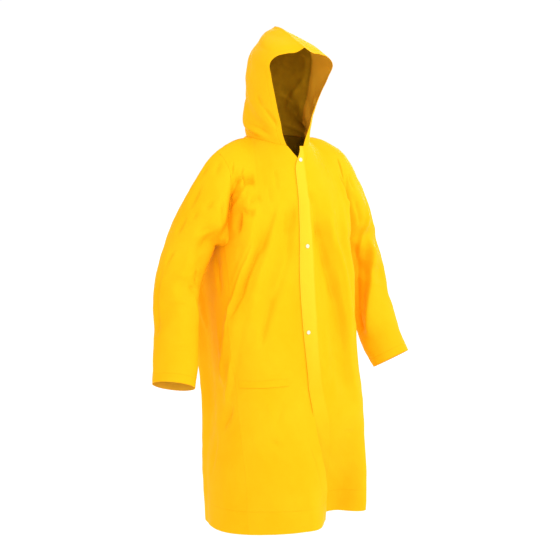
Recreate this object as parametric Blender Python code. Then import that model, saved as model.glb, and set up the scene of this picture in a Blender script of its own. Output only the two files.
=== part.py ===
"""A hooded PVC raincoat in its worn shape, hollow. Metres, +Z up, front facing -Y, wearer's left at +X.

The origin is the middle of the neck base, where the shoulders hold the coat up.
Every panel is a grid of points on one coat surface, given a wall towards the inside.
"""

import math

import bmesh
import bpy
import numpy as np
from mathutils import Matrix, Vector


def table(columns, rows):
    """Rows of numbers as dictionaries, with the columns' names."""
    return [dict(zip(columns.split(), row)) for row in rows]


# Driving dimensions
WALL = 0.0015
SEAM_GAP = 0.0003
LAP_GAP = 0.0012
HEM_Z = -1.165
UNDERARM_Z = -0.310
CENTRE_NECK = dict(y=-0.081, z=-0.022)
NECK_SIDE = dict(x=0.094, y=0.034, z=0.004)
NECK_BACK = dict(y=0.122, z=0.012)
SHOULDER_TIP = dict(x=0.226, y=0.020, z=-0.036)
SHOULDER_BOW = 0.011
NECK_START_PULL = 0.055
NECK_FRONT_PULL = 0.050
NECK_BACK_PULL = 0.045

# Grid: u is 0 at the centre line, NECK_U at the neck side point and 1 at the side seam or armhole.
# Each half of the hood starts at its own place on the front neckline.
LAP_U = 0.052
RIGHT_HOOD_U, LEFT_HOOD_U = 0.100, 0.052
LAP_FADE_U = 0.12
NECK_U = 0.42
NECK_COLUMNS = 5
SHOULDER_COLUMNS = 7
LOWER_ROWS = 16
UPPER_ROWS = 12
CAP_ROWS = 5
ARM_ROWS = 9
CAP_RUN = 0.30
HOOD_ROWS = 14

# Level lines of the body below the underarm, one half for each hand: the widest point (side_x, side_y),
# the centre front and centre back. A square of 0.55 is an ellipse and 1 a box. seam is u of the side seam.
RIGHT_LEVELS = table("z side_x side_y front_y front_square back_y back_square seam", [
    (-1.165, -0.256, -0.030, -0.200, 0.50, 0.148, 0.69, 0.63),
    (-1.000, -0.246, -0.014, -0.180, 0.64, 0.163, 0.75, 0.64),
    (-0.800, -0.232,  0.002, -0.152, 0.76, 0.176, 0.78, 0.72),
    (-0.500, -0.238,  0.010, -0.138, 0.80, 0.196, 0.88, 0.79),
    (-0.400, -0.232,  0.008, -0.134, 0.80, 0.192, 0.86, 0.83),
    (-0.310, -0.212,  0.000, -0.128, 0.76, 0.182, 0.82, 1.00),
])
LEFT_LEVELS = table("z side_x side_y front_y front_square back_y back_square seam", [
    (-1.165, 0.242, 0.006, -0.125, 0.92, 0.148, 0.67, 0.80),
    (-1.000, 0.258, 0.006, -0.146, 0.90, 0.163, 0.78, 0.80),
    (-0.800, 0.250, 0.006, -0.152, 0.88, 0.176, 0.84, 0.81),
    (-0.660, 0.236, 0.009, -0.144, 0.85, 0.188, 0.84, 0.82),
    (-0.500, 0.232, 0.010, -0.138, 0.84, 0.196, 0.84, 0.83),
    (-0.400, 0.228, 0.008, -0.134, 0.82, 0.192, 0.84, 0.86),
    (-0.310, 0.212, 0.000, -0.128, 0.76, 0.182, 0.82, 1.00),
])

# Upper body: the pull of each column as it leaves the underarm level, and as it meets the neckline
# and shoulder seam.
FRONT_PULLS = table("u low_x low_y low_z top_x top_y top_z", [
    (0.00,  0.000,  0.006, 0.090,  0.000, 0.018, 0.070),
    (0.20,  0.000,  0.006, 0.100, -0.018, 0.042, 0.058),
    (0.42,  0.004,  0.004, 0.110, -0.038, 0.064, 0.038),
    (0.75,  0.000, -0.022, 0.085, -0.010, 0.080, 0.034),
    (1.00, -0.012, -0.095, 0.030,  0.020, 0.080, 0.028),
])
BACK_PULLS = table("u low_x low_y low_z top_x top_y top_z", [
    (0.00,  0.000, -0.012, 0.110,  0.000, -0.036, 0.066),
    (0.42,  0.002, -0.010, 0.115, -0.040, -0.078, 0.034),
    (0.75,  0.000,  0.015, 0.090, -0.008, -0.080, 0.032),
    (1.00, -0.012,  0.095, 0.030,  0.020, -0.080, 0.028),
])

# Free front edges: u of the edge at heights v (-1 hem, 0 underarm, 1 neck). The left front lies over the
# right one down to v -0.58, where their edges cross. Below, the right front swings forward past the left.
LEFT_EDGE = table("v u", [
    (-1.0000,  0.090),
    (-0.8750,  0.062),
    (-0.7500,  0.038),
    (-0.6875,  0.025),
    (-0.6250,  0.015),
    (-0.5625,  0.001),
    (-0.5000, -0.012),
    (-0.4000, -0.033),
    (-0.3000, -0.050),
    (-0.1000, -0.066),
    ( 0.0000, -0.066),
    ( 0.4400, -0.056),
    ( 1.0000, -LAP_U),
])
RIGHT_EDGE = table("v u", [
    (-1.0000, -0.265),
    (-0.9375, -0.205),
    (-0.8750, -0.150),
    (-0.8125, -0.104),
    (-0.7500, -0.062),
    (-0.6875, -0.030),
    (-0.6250, -0.005),
    (-0.5625, -0.006),
    (-0.5000, -0.024),
    (-0.4375, -0.032),
    (-0.3750, -0.036),
    ( 0.0000, -0.038),
    ( 0.5000, -0.040),
    ( 1.0000, -LAP_U),
])
LEFT_TIP_DRIFT = 0.060
LEFT_TIP_START = 0.70
RIGHT_TOPS = (0.74, 0.81, 0.90)

# Band along the left front's edge, the welt of the right pocket, and the press studs.
BAND_COLUMNS = (0, 1, 2)
BAND_WALL = 0.0010
WELT_LOW, WELT_HIGH = -0.727, -0.706
WELT_FROM, WELT_TO = 0.15, 0.95
STUDS = table("u v", [
    (-0.002,  0.825),
    (-0.014, -0.007),
    (-0.020, -0.307),
])
STUD_RADIUS = 0.0060
STUD_HEIGHT = 0.0018

# Sleeves: the spine from armhole to cuff as if both were left ones, half widths across and front to back.
LEFT_ARM = table("run x y z across deep", [
    (0.00, 0.213,  0.000, -0.180, 0.100, 0.090),
    (0.30, 0.293,  0.042, -0.290, 0.076, 0.076),
    (0.52, 0.345,  0.044, -0.430, 0.069, 0.067),
    (0.76, 0.372,  0.020, -0.575, 0.070, 0.063),
    (0.88, 0.386,  0.000, -0.645, 0.068, 0.060),
    (1.00, 0.403, -0.030, -0.708, 0.065, 0.056),
])
RIGHT_ARM = table("run x y z across deep", [
    (0.00, 0.213, 0.000, -0.180, 0.100, 0.090),
    (0.30, 0.293, 0.042, -0.290, 0.076, 0.076),
    (0.52, 0.347, 0.047, -0.430, 0.068, 0.068),
    (0.76, 0.366, 0.024, -0.575, 0.068, 0.064),
    (0.88, 0.381, 0.004, -0.648, 0.069, 0.061),
    (1.00, 0.400, -0.016, -0.713, 0.066, 0.056),
])
CAP_LEAVES = table("height x z", [
    (0.0, 0.030, -0.040),
    (0.5, 0.044, -0.045),
    (1.0, 0.062, -0.032),
])

# Left half of the hood: the face edge, the centre back seam, and how far the cloth bulges between them.
# face_lean moves the face edges of both halves to the wearer's right.
HOOD_LEVELS = table("rise face_x face_lean face_y face_z back_y back_z side_x rear_x rear", [
    (0.00, 0.026, 0.000, -0.077, -0.020, 0.124, 0.012, 0.110, 0.084, 1.00),
    (0.15, 0.047, 0.004, -0.073,  0.026, 0.133, 0.060, 0.128, 0.106, 1.00),
    (0.30, 0.062, 0.007, -0.076,  0.072, 0.131, 0.115, 0.138, 0.106, 1.00),
    (0.45, 0.081, 0.007, -0.084,  0.125, 0.123, 0.170, 0.144, 0.103, 1.00),
    (0.60, 0.104, 0.003, -0.092,  0.183, 0.113, 0.225, 0.145, 0.101, 1.00),
    (0.72, 0.115, 0.000, -0.096,  0.218, 0.099, 0.268, 0.141, 0.095, 1.00),
    (0.84, 0.090, 0.000, -0.101,  0.243, 0.077, 0.306, 0.117, 0.082, 0.96),
    (0.94, 0.044, 0.000, -0.108,  0.254, 0.056, 0.336, 0.093, 0.066, 0.84),
    (1.00, 0.000, 0.000, -0.110,  0.269, 0.042, 0.347, 0.000, 0.000, 0.64),
])

# Large folds. a runs round the body in quarters: -1 and 3 are the right side, 0 the centre front, 1 the
# left side, 2 the centre back. A fold runs from (a0, z0) to (a1, z1), with z in metres. A ridge is
# positive and a trough negative, and both fade over `fade` at their ends.
QUARTER = 0.35
BODY_FOLDS = table("a0 z0 a1 z1 wide high fade", [
    (0.72, -2.00, 0.70, -0.90, 0.060, 0.030, 0.30),
    (-0.11, -0.16, -0.43, -0.58, 0.024, -0.014, 0.13),
    (-0.28, -0.18, -0.80, -0.56, 0.028, -0.017, 0.13),
    (-0.50, -0.26, -0.93, -0.76, 0.028, 0.012, 0.15),
    (0.115, -0.15, 0.31, -0.86, 0.026, -0.019, 0.16),
    (0.21, -0.16, 0.43, -0.66, 0.022, 0.010, 0.13),
    (0.33, -0.18, 0.62, -0.60, 0.028, -0.014, 0.13),
    (0.62, -0.12, 0.86, -0.40, 0.022, 0.008, 0.09),
    (1.20, -0.26, 1.32, -0.90, 0.032, 0.013, 0.17),
    (1.46, -0.14, 1.60, -0.72, 0.034, -0.016, 0.18),
    (1.92, -0.28, 1.84, -1.60, 0.040, 0.015, 0.24),
    (2.24, -0.14, 2.16, -0.80, 0.034, -0.015, 0.18),
    (2.62, -0.24, 2.50, -1.60, 0.038, 0.015, 0.22),
    (2.84, -0.38, 2.80, -1.00, 0.032, -0.013, 0.19),
])
RIGHT_FRONT_FOLDS = table("a0 z0 a1 z1 wide high fade", [
    (0.29, -2.00, 0.19, -0.84, 0.054, -0.070, 0.36),
])
LEFT_FRONT_FOLDS = table("a0 z0 a1 z1 wide high fade", [
    (0.34, -2.00, 0.24, -0.78, 0.070, -0.062, 0.38),
])

# Large sleeve folds: a is the turn round the sleeve (0 underarm, 0.25 front, 0.5 outside, 0.75 back),
# and z the run down it in metres, from the armhole.
SLEEVE_ROUND = 0.44
SLEEVE_LENGTH = 0.60
SLEEVE_FOLDS = table("a0 z0 a1 z1 wide high fade", [
    (0.14, 0.15, 0.44, 0.27, 0.022, -0.011, 0.05),
    (0.06, 0.27, 0.36, 0.34, 0.020, -0.010, 0.04),
    (0.60, 0.20, 0.90, 0.31, 0.022, -0.011, 0.05),
    (0.34, 0.36, 0.60, 0.46, 0.022, -0.008, 0.05),
])

# Large folds of each half of the hood: a from the face edge (0) to the back seam (1), and z up from
# the neck seam.
HOOD_ROUND = 0.30
HOOD_TALL = 0.34
HOOD_FOLDS = table("a0 z0 a1 z1 wide high fade", [
    (0.12, 0.02, 0.72, 0.17, 0.018, -0.009, 0.05),
    (0.24, 0.00, 0.80, 0.09, 0.016, 0.005, 0.05),
])

YELLOW = (1.0, 0.60, 0.01, 1.0)
IVORY = (0.93, 0.88, 0.72, 1.0)


def column_value(rows, key, name, at):
    """The named column at the places `at`, by a smooth curve through the rows."""
    rows = sorted(rows, key=lambda row: row[key])
    places = np.array([row[key] for row in rows])
    values = np.array([row[name] for row in rows])
    slopes = np.gradient(values, places)
    at = np.clip(at, places[0], places[-1])
    i = np.clip(np.searchsorted(places, at) - 1, 0, len(places) - 2)
    span = places[i + 1] - places[i]
    t = (at - places[i]) / span
    start = (1 + 2 * t) * (1 - t) ** 2 * values[i] + t * (1 - t) ** 2 * span * slopes[i]
    end = t * t * (3 - 2 * t) * values[i + 1] - t * t * (1 - t) * span * slopes[i + 1]
    return start + end


def cubic(p0, p1, p2, p3, t):
    """Points of a cubic at t; each control is one point or an (n, 3) array."""
    t = np.asarray(t)[:, None]
    r = 1 - t
    return r**3 * p0 + 3 * r * r * t * p1 + 3 * r * t * t * p2 + t**3 * p3


def points(x, y, z):
    return np.stack(np.broadcast_arrays(x, y, z), axis=-1).astype(float)


def smooth_step(value):
    value = np.clip(value, 0, 1)
    return value * value * (3 - 2 * value)


def body_level(side, back, u, z):
    """Points of a level line of the body on one side, from the centre line to the widest point."""
    levels = RIGHT_LEVELS if side < 0 else LEFT_LEVELS
    value = {name: column_value(levels, "z", name, z) for name in levels[0]}
    centre_y = value["back_y"] if back else value["front_y"]
    square = value["back_square"] if back else value["front_square"]
    beyond = np.where(u < 0, -1, 1)
    return cubic(
        points(0, centre_y, z),
        points(beyond * square * value["side_x"], centre_y, z),
        points(beyond * value["side_x"], value["side_y"] + square * (centre_y - value["side_y"]), z),
        points(beyond * value["side_x"], value["side_y"], z),
        np.abs(u),
    )


def top_line(side, back, u):
    """Top edge of the body on one side: the neckline up to the neck side point, then the shoulder seam."""
    hand = (side * np.where(u < 0, -1, 1))[:, None]
    u = np.abs(u)
    side_point = points(NECK_SIDE["x"], NECK_SIDE["y"], NECK_SIDE["z"])
    tip = points(SHOULDER_TIP["x"], SHOULDER_TIP["y"], SHOULDER_TIP["z"])
    centre = NECK_BACK if back else CENTRE_NECK
    reach = NECK_BACK_PULL if back else -NECK_FRONT_PULL
    start = points(0, centre["y"], centre["z"])
    first = start + [NECK_START_PULL, 0, 0]
    second = side_point + [0, reach, reach * 0.1]
    neckline = cubic(start, first, second, side_point, np.clip(u / NECK_U, 0, 1))
    r = np.clip((u - NECK_U) / (1 - NECK_U), 0, 1)
    bow = points(0, 0, SHOULDER_BOW * np.sin(math.pi * r))
    seam = side_point + r[:, None] * (tip - side_point) + bow
    line = np.where((u > NECK_U)[:, None], seam, neckline)
    return line * np.concatenate([hand, np.ones_like(hand), np.ones_like(hand)], axis=1)


def body_form(side, back, u, v):
    """The body without folds: v is -1 at the hem, 0 at the underarm and 1 at the neck and shoulder line."""
    z = UNDERARM_Z + (UNDERARM_Z - HEM_Z) * np.minimum(v, 0)
    lower = body_level(side, back, u, z)
    rows = BACK_PULLS if back else FRONT_PULLS
    pull = {name: column_value(rows, "u", name, np.abs(u)) for name in rows[0]}
    start = body_level(side, back, u, np.full_like(u, UNDERARM_Z))
    end = top_line(side, back, u)
    upper = cubic(
        start,
        start + points(side * pull["low_x"], pull["low_y"], pull["low_z"]),
        end - points(side * pull["top_x"], pull["top_y"], pull["top_z"]),
        end,
        np.clip(v, 0, 1),
    )
    return np.where((v > 0)[:, None], upper, lower)


def back_point(a, v):
    """The back and whatever of the sides its seams reach: a in quarters, as in the table of folds."""
    forms = (
        (a < 1, 1, False, a),
        ((a >= 1) & (a < 2), 1, True, 2 - a),
        ((a >= 2) & (a <= 3), -1, True, a - 2),
        (a > 3, -1, False, 4 - a),
    )
    found = np.zeros((len(a), 3))
    for chosen, side, back, u in forms:
        if chosen.any():
            found[chosen] = body_form(side, back, u[chosen], v[chosen])
    return found


def armhole(side, turn):
    """Armhole points: turn 0 at the underarm, up the front to 0.5 at the shoulder tip, down the back to 1."""
    seam = np.ones_like(turn)
    front = body_form(side, False, seam, np.clip(turn * 2, 0, 1))
    back = body_form(side, True, seam, np.clip(2 - turn * 2, 0, 1))
    return np.where((turn <= 0.5)[:, None], front, back)


def arm_centre(spine, run):
    return points(*(column_value(spine, "run", axis, run) for axis in "xyz"))


def arm_ring(side, turn, run):
    """Rings of the sleeve square to the arm, `run` of the way from armhole to cuff."""
    spine = RIGHT_ARM if side < 0 else LEFT_ARM
    along = unit(arm_centre(spine, run + 0.01) - arm_centre(spine, run - 0.01))
    ahead = unit(np.array([0, -1.0, 0]) + along * along[:, 1:2])
    across = column_value(spine, "run", "across", run)[:, None]
    deep = column_value(spine, "run", "deep", run)[:, None]
    angle = (turn * 2 * math.pi)[:, None]
    inward = np.cross(ahead, along) * across * np.cos(angle)
    return (arm_centre(spine, run) - inward + ahead * deep * np.sin(angle)) * [side, 1, 1]


def sleeve_point(side, turn, run):
    """A sleeve: run 0 at the armhole, CAP_RUN where the cap ends, 1 at the cuff."""
    start = armhole(side, turn)
    height = (start[:, 2] - UNDERARM_Z) / (SHOULDER_TIP["z"] - UNDERARM_Z)
    leave_x = column_value(CAP_LEAVES, "height", "x", height)
    leave = points(side * leave_x, 0, column_value(CAP_LEAVES, "height", "z", height))
    cap_end = np.full_like(turn, CAP_RUN)
    end = arm_ring(side, turn, cap_end)
    arrive = (arm_ring(side, turn, cap_end + 0.02) - end) / 0.02 * CAP_RUN / 3
    cap = cubic(start, start + leave, end - arrive, end, np.clip(run / CAP_RUN, 0, 1))
    arm = arm_ring(side, turn, np.maximum(run, CAP_RUN))
    return np.where((run < CAP_RUN)[:, None], cap, arm)


def neck_line(side, s):
    """The hood's foot: the front neckline to the neck side point at s 0.5, then round to the centre back."""
    start = RIGHT_HOOD_U if side < 0 else LEFT_HOOD_U
    front = top_line(side, False, start + (NECK_U - start) * np.clip(s * 2, 0, 1))
    back = top_line(side, True, NECK_U * np.clip(2 - s * 2, 0, 1))
    return np.where((s <= 0.5)[:, None], front, back)


def hood_point(side, s, rise):
    """Half of the hood: s from the face edge (0) to the back seam (1), rise from the neck to the crown."""

    def row(at):
        value = {name: column_value(HOOD_LEVELS, "rise", name, at) for name in HOOD_LEVELS[0]}
        third = (value["back_z"] - value["face_z"]) / 3
        depth = value["back_y"] - value["face_y"]
        rear_y = value["face_y"] + depth * value["rear"]
        return cubic(
            points(side * value["face_x"] - value["face_lean"], value["face_y"], value["face_z"]),
            points(side * value["side_x"], value["face_y"] + depth * 0.32, value["face_z"] + third),
            points(side * value["rear_x"], rear_y, value["back_z"] - third),
            points(0, value["back_y"], value["back_z"]),
            s,
        )

    settle = (1 - smooth_step(rise / 0.30))[:, None]
    return row(rise) + settle * (neck_line(side, s) - row(np.zeros_like(rise)))


def fold_height(folds, a, z, a_size):
    """Height of the folds at (a, z): soft ridges and troughs along straight runs that fade at both ends."""
    height = np.zeros_like(a)
    for fold in folds:
        start = np.array([fold["a0"] * a_size, fold["z0"]])
        run = np.array([fold["a1"] * a_size, fold["z1"]]) - start
        length = np.linalg.norm(run)
        off = np.stack([a * a_size, z], axis=-1) - start
        along = off @ run / length
        aside = (off[..., 0] * run[1] - off[..., 1] * run[0]) / length
        fade = smooth_step(along / fold["fade"]) * smooth_step((length - along) / fold["fade"])
        bell = np.clip(1 - (aside / (1.9 * fold["wide"])) ** 2, 0, 1) ** 2
        height += fold["high"] * bell * fade
    return height


def unit(vectors):
    return vectors / np.maximum(np.linalg.norm(vectors, axis=-1), 1e-9)[..., None]


def outward(grid, ring):
    """Outward normals of a grid, by differences along rows and columns. A ring's last column is its first."""
    if ring:
        wide = np.concatenate([grid[:, -2:-1], grid, grid[:, 1:2]], axis=1)
        across = np.gradient(wide, axis=1)[:, 1:-1]
    else:
        across = np.gradient(grid, axis=1)
    return unit(np.cross(across, np.gradient(grid, axis=0)))


def form_normals(form, u, v):
    """Outward or inward unit normals of a form(u, v), by small steps both ways."""
    step = 1e-3
    across = form(u + step, v) - form(u - step, v)
    along = form(u, v + step) - form(u, v - step)
    return unit(np.cross(across, along))


def folded(folds, form, a, v, flip=1, over=0.0):
    """The form at (a, v), moved out by its folds and by `over`. flip is -1 where a runs against u."""
    shape = a.shape
    flat_u, flat_v = a.ravel() * flip, v.ravel()
    z = UNDERARM_Z + (UNDERARM_Z - HEM_Z) * np.minimum(v, 0) - UNDERARM_Z * np.maximum(v, 0)
    height = sum(fold_height(BODY_FOLDS + folds, a + turn, z, QUARTER) for turn in (-4, 0, 4))
    from_armhole = np.abs(1 - np.abs(np.where(np.abs(a) <= 1, a, a - 2)))
    above = smooth_step((v + 0.06) / 0.06)
    height *= (1 - above * (1 - smooth_step(from_armhole / 0.12))) * smooth_step((1 - v) / 0.1)
    height += over
    out = form_normals(form, flat_u, flat_v) * flip
    return (form(flat_u, flat_v) + out * height.reshape(-1, 1)).reshape(*shape, 3)


def column_places(side=1):
    """u of a panel's columns, from the centre line to the side seam. The right front has one more."""
    neck = np.linspace(RIGHT_HOOD_U if side < 0 else LEFT_HOOD_U, NECK_U, NECK_COLUMNS)
    shoulder = np.linspace(NECK_U, 1, SHOULDER_COLUMNS + 1)[1:]
    return np.concatenate([[0, LAP_U] if side < 0 else [0], neck, shoulder])


def row_places():
    lower, upper = np.linspace(-1, 0, LOWER_ROWS + 1), np.linspace(0, 1, UPPER_ROWS + 1)
    return np.concatenate([lower, upper[1:]])


def seam_place(side, v):
    """u of the side seam at height v: 1 at the underarm, further forward below it."""
    levels = RIGHT_LEVELS if side < 0 else LEFT_LEVELS
    z = UNDERARM_Z + (UNDERARM_Z - HEM_Z) * np.minimum(v, 0)
    return np.where(v < 0, column_value(levels, "z", "seam", z), 1.0)


def front_places(side):
    """u and v of a front's points, from its free edge to the side seam."""
    u, v = np.meshgrid(np.concatenate([[-LAP_U], column_places(side)]), row_places())
    edge = column_value(LEFT_EDGE if side > 0 else RIGHT_EDGE, "v", "u", v)
    share = smooth_step((u - LAP_U) / (1 - LAP_U))
    place = u + (edge + LAP_U) * (1 - share) + (seam_place(side, v) - 1) * share
    if side > 0:
        towards_tip = (LAP_U - np.minimum(u, LAP_U)) / (2 * LAP_U)
        place += LEFT_TIP_DRIFT * towards_tip * smooth_step((v - LEFT_TIP_START) / (1 - LEFT_TIP_START))
    else:
        for column, top in enumerate(RIGHT_TOPS):
            v[:, column] = np.where(v[:, column] > 0, v[:, column] * top, v[:, column])
    return place, v


def front_grid(side):
    """A front from its free edge to the side seam. The left front lies over the right one."""

    def form(u, v):
        return body_form(side, False, u, v)

    u, v = front_places(side)
    if side < 0:
        return folded(RIGHT_FRONT_FOLDS, form, -u[:, ::-1], v[:, ::-1], flip=-1)
    over = (WALL + LAP_GAP) * (1 - smooth_step((u - LAP_U) / LAP_FADE_U)) * smooth_step((1 - v) / 0.1)
    return folded(LEFT_FRONT_FOLDS, form, u, v, over=over)


def back_grid():
    u, v = np.meshgrid(column_places(), row_places())
    left = 2 - u * (2 - seam_place(1, v))
    right = 2 + u * (2 - seam_place(-1, v))
    a = np.concatenate([left[:, ::-1], right[:, 1:]], axis=1)
    return folded([], back_point, a, np.concatenate([v, v[:, 1:]], axis=1))


def sleeve_grid(side):
    def form(turn, run):
        return sleeve_point(side, turn % 1, run)

    turn = np.linspace(0, 1, 2 * UPPER_ROWS + 1)
    arm_run = np.linspace(CAP_RUN, 1, ARM_ROWS + 1)
    run = np.concatenate([np.linspace(0, CAP_RUN, CAP_ROWS + 1), arm_run[1:]])
    turns, runs = np.meshgrid(turn, run)
    height = sum(
        fold_height(SLEEVE_FOLDS, turns + wrap, runs * SLEEVE_LENGTH, SLEEVE_ROUND) for wrap in (-1, 0, 1)
    )
    out = form_normals(form, turns.ravel(), runs.ravel()) * -side
    grid = (form(turns.ravel(), runs.ravel()) + out * height.reshape(-1, 1)).reshape(*turns.shape, 3)
    return grid[:, ::-1] if side > 0 else grid


def hood_grid(side):
    """A half of the hood. Its columns meet those of the neckline, front and back."""

    def form(s, rise):
        return hood_point(side, s, rise)

    front = np.linspace(0, 0.5, NECK_COLUMNS)
    back = 1 - column_places()[NECK_COLUMNS - 1 :: -1] / NECK_U / 2
    s, rise = np.meshgrid(np.concatenate([front, back]), np.linspace(0, 1, HOOD_ROWS + 1))
    shape, s, rise = s.shape, s.ravel(), rise.ravel()
    height = fold_height(HOOD_FOLDS, s, rise * HOOD_TALL, HOOD_ROUND)
    height *= smooth_step(rise / 0.1) * smooth_step((1 - rise) / 0.15) * smooth_step((1 - s) / 0.15)
    out = form_normals(form, s, rise) * side
    grid = (form(s, rise) + out * height[:, None]).reshape(*shape, 3)
    return grid if side > 0 else grid[:, ::-1]


def share_seam_normals(grids, normals):
    """Gives points that several panels share one normal, so that their cut edges are parallel."""
    total = {}
    for name, grid in grids.items():
        for place, normal in zip(np.round(grid, 5).reshape(-1, 3), normals[name].reshape(-1, 3)):
            key = tuple(place)
            total[key] = total.get(key, 0) + normal
    for name, grid in grids.items():
        shared = [total[tuple(place)] for place in np.round(grid, 5).reshape(-1, 3)]
        normals[name] = unit(np.array(shared)).reshape(grid.shape)


def pull_in_edges(grid, normal, ring, amount):
    """Moves the grid's edges inwards by `amount`, square to the edge and to the wall."""
    moved = grid.copy()
    for row, sign in ((0, 1), (-1, -1)):
        edge = np.gradient(grid[row], axis=0)
        if ring:
            edge[0] = edge[-1] = grid[row, 1] - grid[row, -2]
        moved[row] += unit(np.cross(normal[row], edge)) * sign * amount
    if not ring:
        for column, sign in ((0, -1), (-1, 1)):
            edge = np.gradient(grid[:, column], axis=0)
            moved[:, column] += unit(np.cross(normal[:, column], edge)) * sign * amount
    return moved


def make_material(name, colour, roughness, metallic=0.0):
    material = bpy.data.materials.new(name)
    material.use_nodes = True
    shader = material.node_tree.nodes["Principled BSDF"]
    shader.inputs["Base Color"].default_value = colour
    shader.inputs["Roughness"].default_value = roughness
    shader.inputs["Metallic"].default_value = metallic
    return material


def make_piece(name, mesh, material, collection):
    mesh.materials.append(material)
    mesh.shade_smooth()
    mesh.set_sharp_from_angle(angle=math.radians(50))
    piece = bpy.data.objects.new(name, mesh)
    collection.objects.link(piece)
    return piece


def rim_order(vertex):
    """A height that sorts a rim's ends alike on both sides of a seam, so that its triangles match there."""
    return vertex.co.dot((0.31, 0.17, 1.0))


def wall_mesh(name, outer, inner, ring):
    """Closed wall between two grids of points: two grids of quads joined round their edges."""
    rows, columns = outer.shape[:2]
    shape = bmesh.new()
    for surface in (outer, inner):
        made = bmesh.ops.create_grid(shape, x_segments=columns - 1, y_segments=rows - 1, size=0.5)
        for vertex, place in zip(made["verts"], surface.reshape(-1, 3)):
            vertex.co = place
    shape.verts.index_update()
    shape.verts.ensure_lookup_table()
    count = rows * columns
    rims = [edge for edge in shape.edges if edge.is_boundary and edge.verts[0].index < count]
    if ring:
        rims = [edge for edge in rims if abs(edge.verts[0].index - edge.verts[1].index) == 1]
    for edge in rims:
        first, second = (vertex.index for vertex in sorted(edge.verts, key=rim_order))
        for corners in ((first, second, second + count), (first, second + count, first + count)):
            shape.faces.new([shape.verts[i] for i in corners])
    if ring:
        bmesh.ops.remove_doubles(shape, verts=shape.verts, dist=1e-6)
    bmesh.ops.recalc_face_normals(shape, faces=shape.faces)
    mesh = bpy.data.meshes.new(name)
    shape.to_mesh(mesh)
    shape.free()
    return mesh


def remove_old_objects():
    for old in list(bpy.data.objects):
        bpy.data.objects.remove(old, do_unlink=True)


def sampled(grid, rows, columns):
    """Points of a grid at fractional rows and columns."""
    rows, columns = np.meshgrid(rows, columns, indexing="ij")
    i = np.minimum(rows.astype(int), grid.shape[0] - 2)
    j = np.minimum(columns.astype(int), grid.shape[1] - 2)
    up, over = (rows - i)[..., None], (columns - j)[..., None]
    low = grid[i, j] * (1 - over) + grid[i, j + 1] * over
    high = grid[i + 1, j] * (1 - over) + grid[i + 1, j + 1] * over
    return low * (1 - up) + high * up


def strip_mesh(name, outer, normal, rows, columns, wall):
    """A strip that lies on a panel: the panel's own points, moved out past the seam gap."""
    base = sampled(outer, rows, columns)
    out = unit(sampled(normal, rows, columns))
    return wall_mesh(name, base + out * (SEAM_GAP + wall), base + out * SEAM_GAP, False)


def welt_rows():
    """Fractional rows of a front at the welt's lower and upper edge."""
    return [(z - HEM_Z) / (UNDERARM_Z - HEM_Z) * LOWER_ROWS for z in (WELT_LOW, WELT_HIGH)]


def welt_columns():
    """Fractional columns of the right front between the welt's ends, one for each of the panel's own."""
    count = len(column_places(-1))
    u = np.concatenate([column_places(-1)[::-1], [-LAP_U]])
    place = np.interp([-WELT_TO, -WELT_FROM], -u, np.arange(count + 1))
    inner = np.arange(math.ceil(place[0]), math.floor(place[1]) + 1)
    return np.concatenate([place[:1], inner, place[1:]])


def stud_mesh(name, base, out):
    """A shallow press-stud cap standing on `base`, facing `out`."""
    shape = bmesh.new()
    bmesh.ops.create_cone(
        shape, cap_ends=True, segments=16, radius1=STUD_RADIUS, radius2=STUD_RADIUS * 0.8, depth=STUD_HEIGHT
    )
    turn = Vector((0, 0, 1)).rotation_difference(Vector(out)).to_matrix().to_4x4()
    centre = Vector(base) + Vector(out) * (STUD_HEIGHT / 2)
    bmesh.ops.transform(shape, matrix=Matrix.Translation(centre) @ turn, verts=shape.verts)
    mesh = bpy.data.meshes.new(name)
    shape.to_mesh(mesh)
    shape.free()
    return mesh


def stud_place(stud, outer, normal):
    """Where a stud stands on the band: the panel's point at (u, v), and its normal."""
    v = row_places()
    row = np.interp(stud["v"], v, np.arange(len(v)))
    edge = sampled(front_places(1)[0][..., None], [row], BAND_COLUMNS)[0, :, 0]
    column = np.interp(stud["u"], edge, BAND_COLUMNS)
    out = unit(sampled(normal, [row], [column]))[0, 0]
    return sampled(outer, [row], [column])[0, 0] + out * (2 * SEAM_GAP + BAND_WALL + 0.0002), out


def build_coat():
    remove_old_objects()
    coat = bpy.data.collections.new("raincoat")
    bpy.context.scene.collection.children.link(coat)
    grids = dict(front_right=front_grid(-1), front_left=front_grid(1), back=back_grid())
    grids.update(sleeve_right=sleeve_grid(-1), sleeve_left=sleeve_grid(1))
    grids.update(hood_right=hood_grid(-1), hood_left=hood_grid(1))
    normals = {name: outward(grid, name.startswith("sleeve")) for name, grid in grids.items()}
    share_seam_normals(grids, normals)
    outers = {}
    for name, grid in grids.items():
        ring = name.startswith("sleeve")
        outers[name] = pull_in_edges(grid, normals[name], ring, SEAM_GAP / 2)
        inner = outers[name] - normals[name] * WALL
        mesh = wall_mesh(name, outers[name], inner, ring)
        make_piece(name, mesh, make_material(name, YELLOW, 0.35), coat)
    left, left_normal = outers["front_left"], normals["front_left"]
    band = strip_mesh("placket", left, left_normal, np.arange(left.shape[0]), BAND_COLUMNS, BAND_WALL)
    make_piece("placket", band, make_material("placket", YELLOW, 0.35), coat)
    welt = strip_mesh(
        "pocket_right", outers["front_right"], normals["front_right"], welt_rows(), welt_columns(), BAND_WALL
    )
    make_piece("pocket_right", welt, make_material("pocket_right", YELLOW, 0.35), coat)
    for number, stud in enumerate(STUDS, start=1):
        name = f"snap_{number}"
        mesh = stud_mesh(name, *stud_place(stud, left, left_normal))
        make_piece(name, mesh, make_material(name, IVORY, 0.3), coat)


build_coat()
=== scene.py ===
import math

import bmesh
import bpy
import numpy as np
from mathutils import Matrix, Vector


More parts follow.
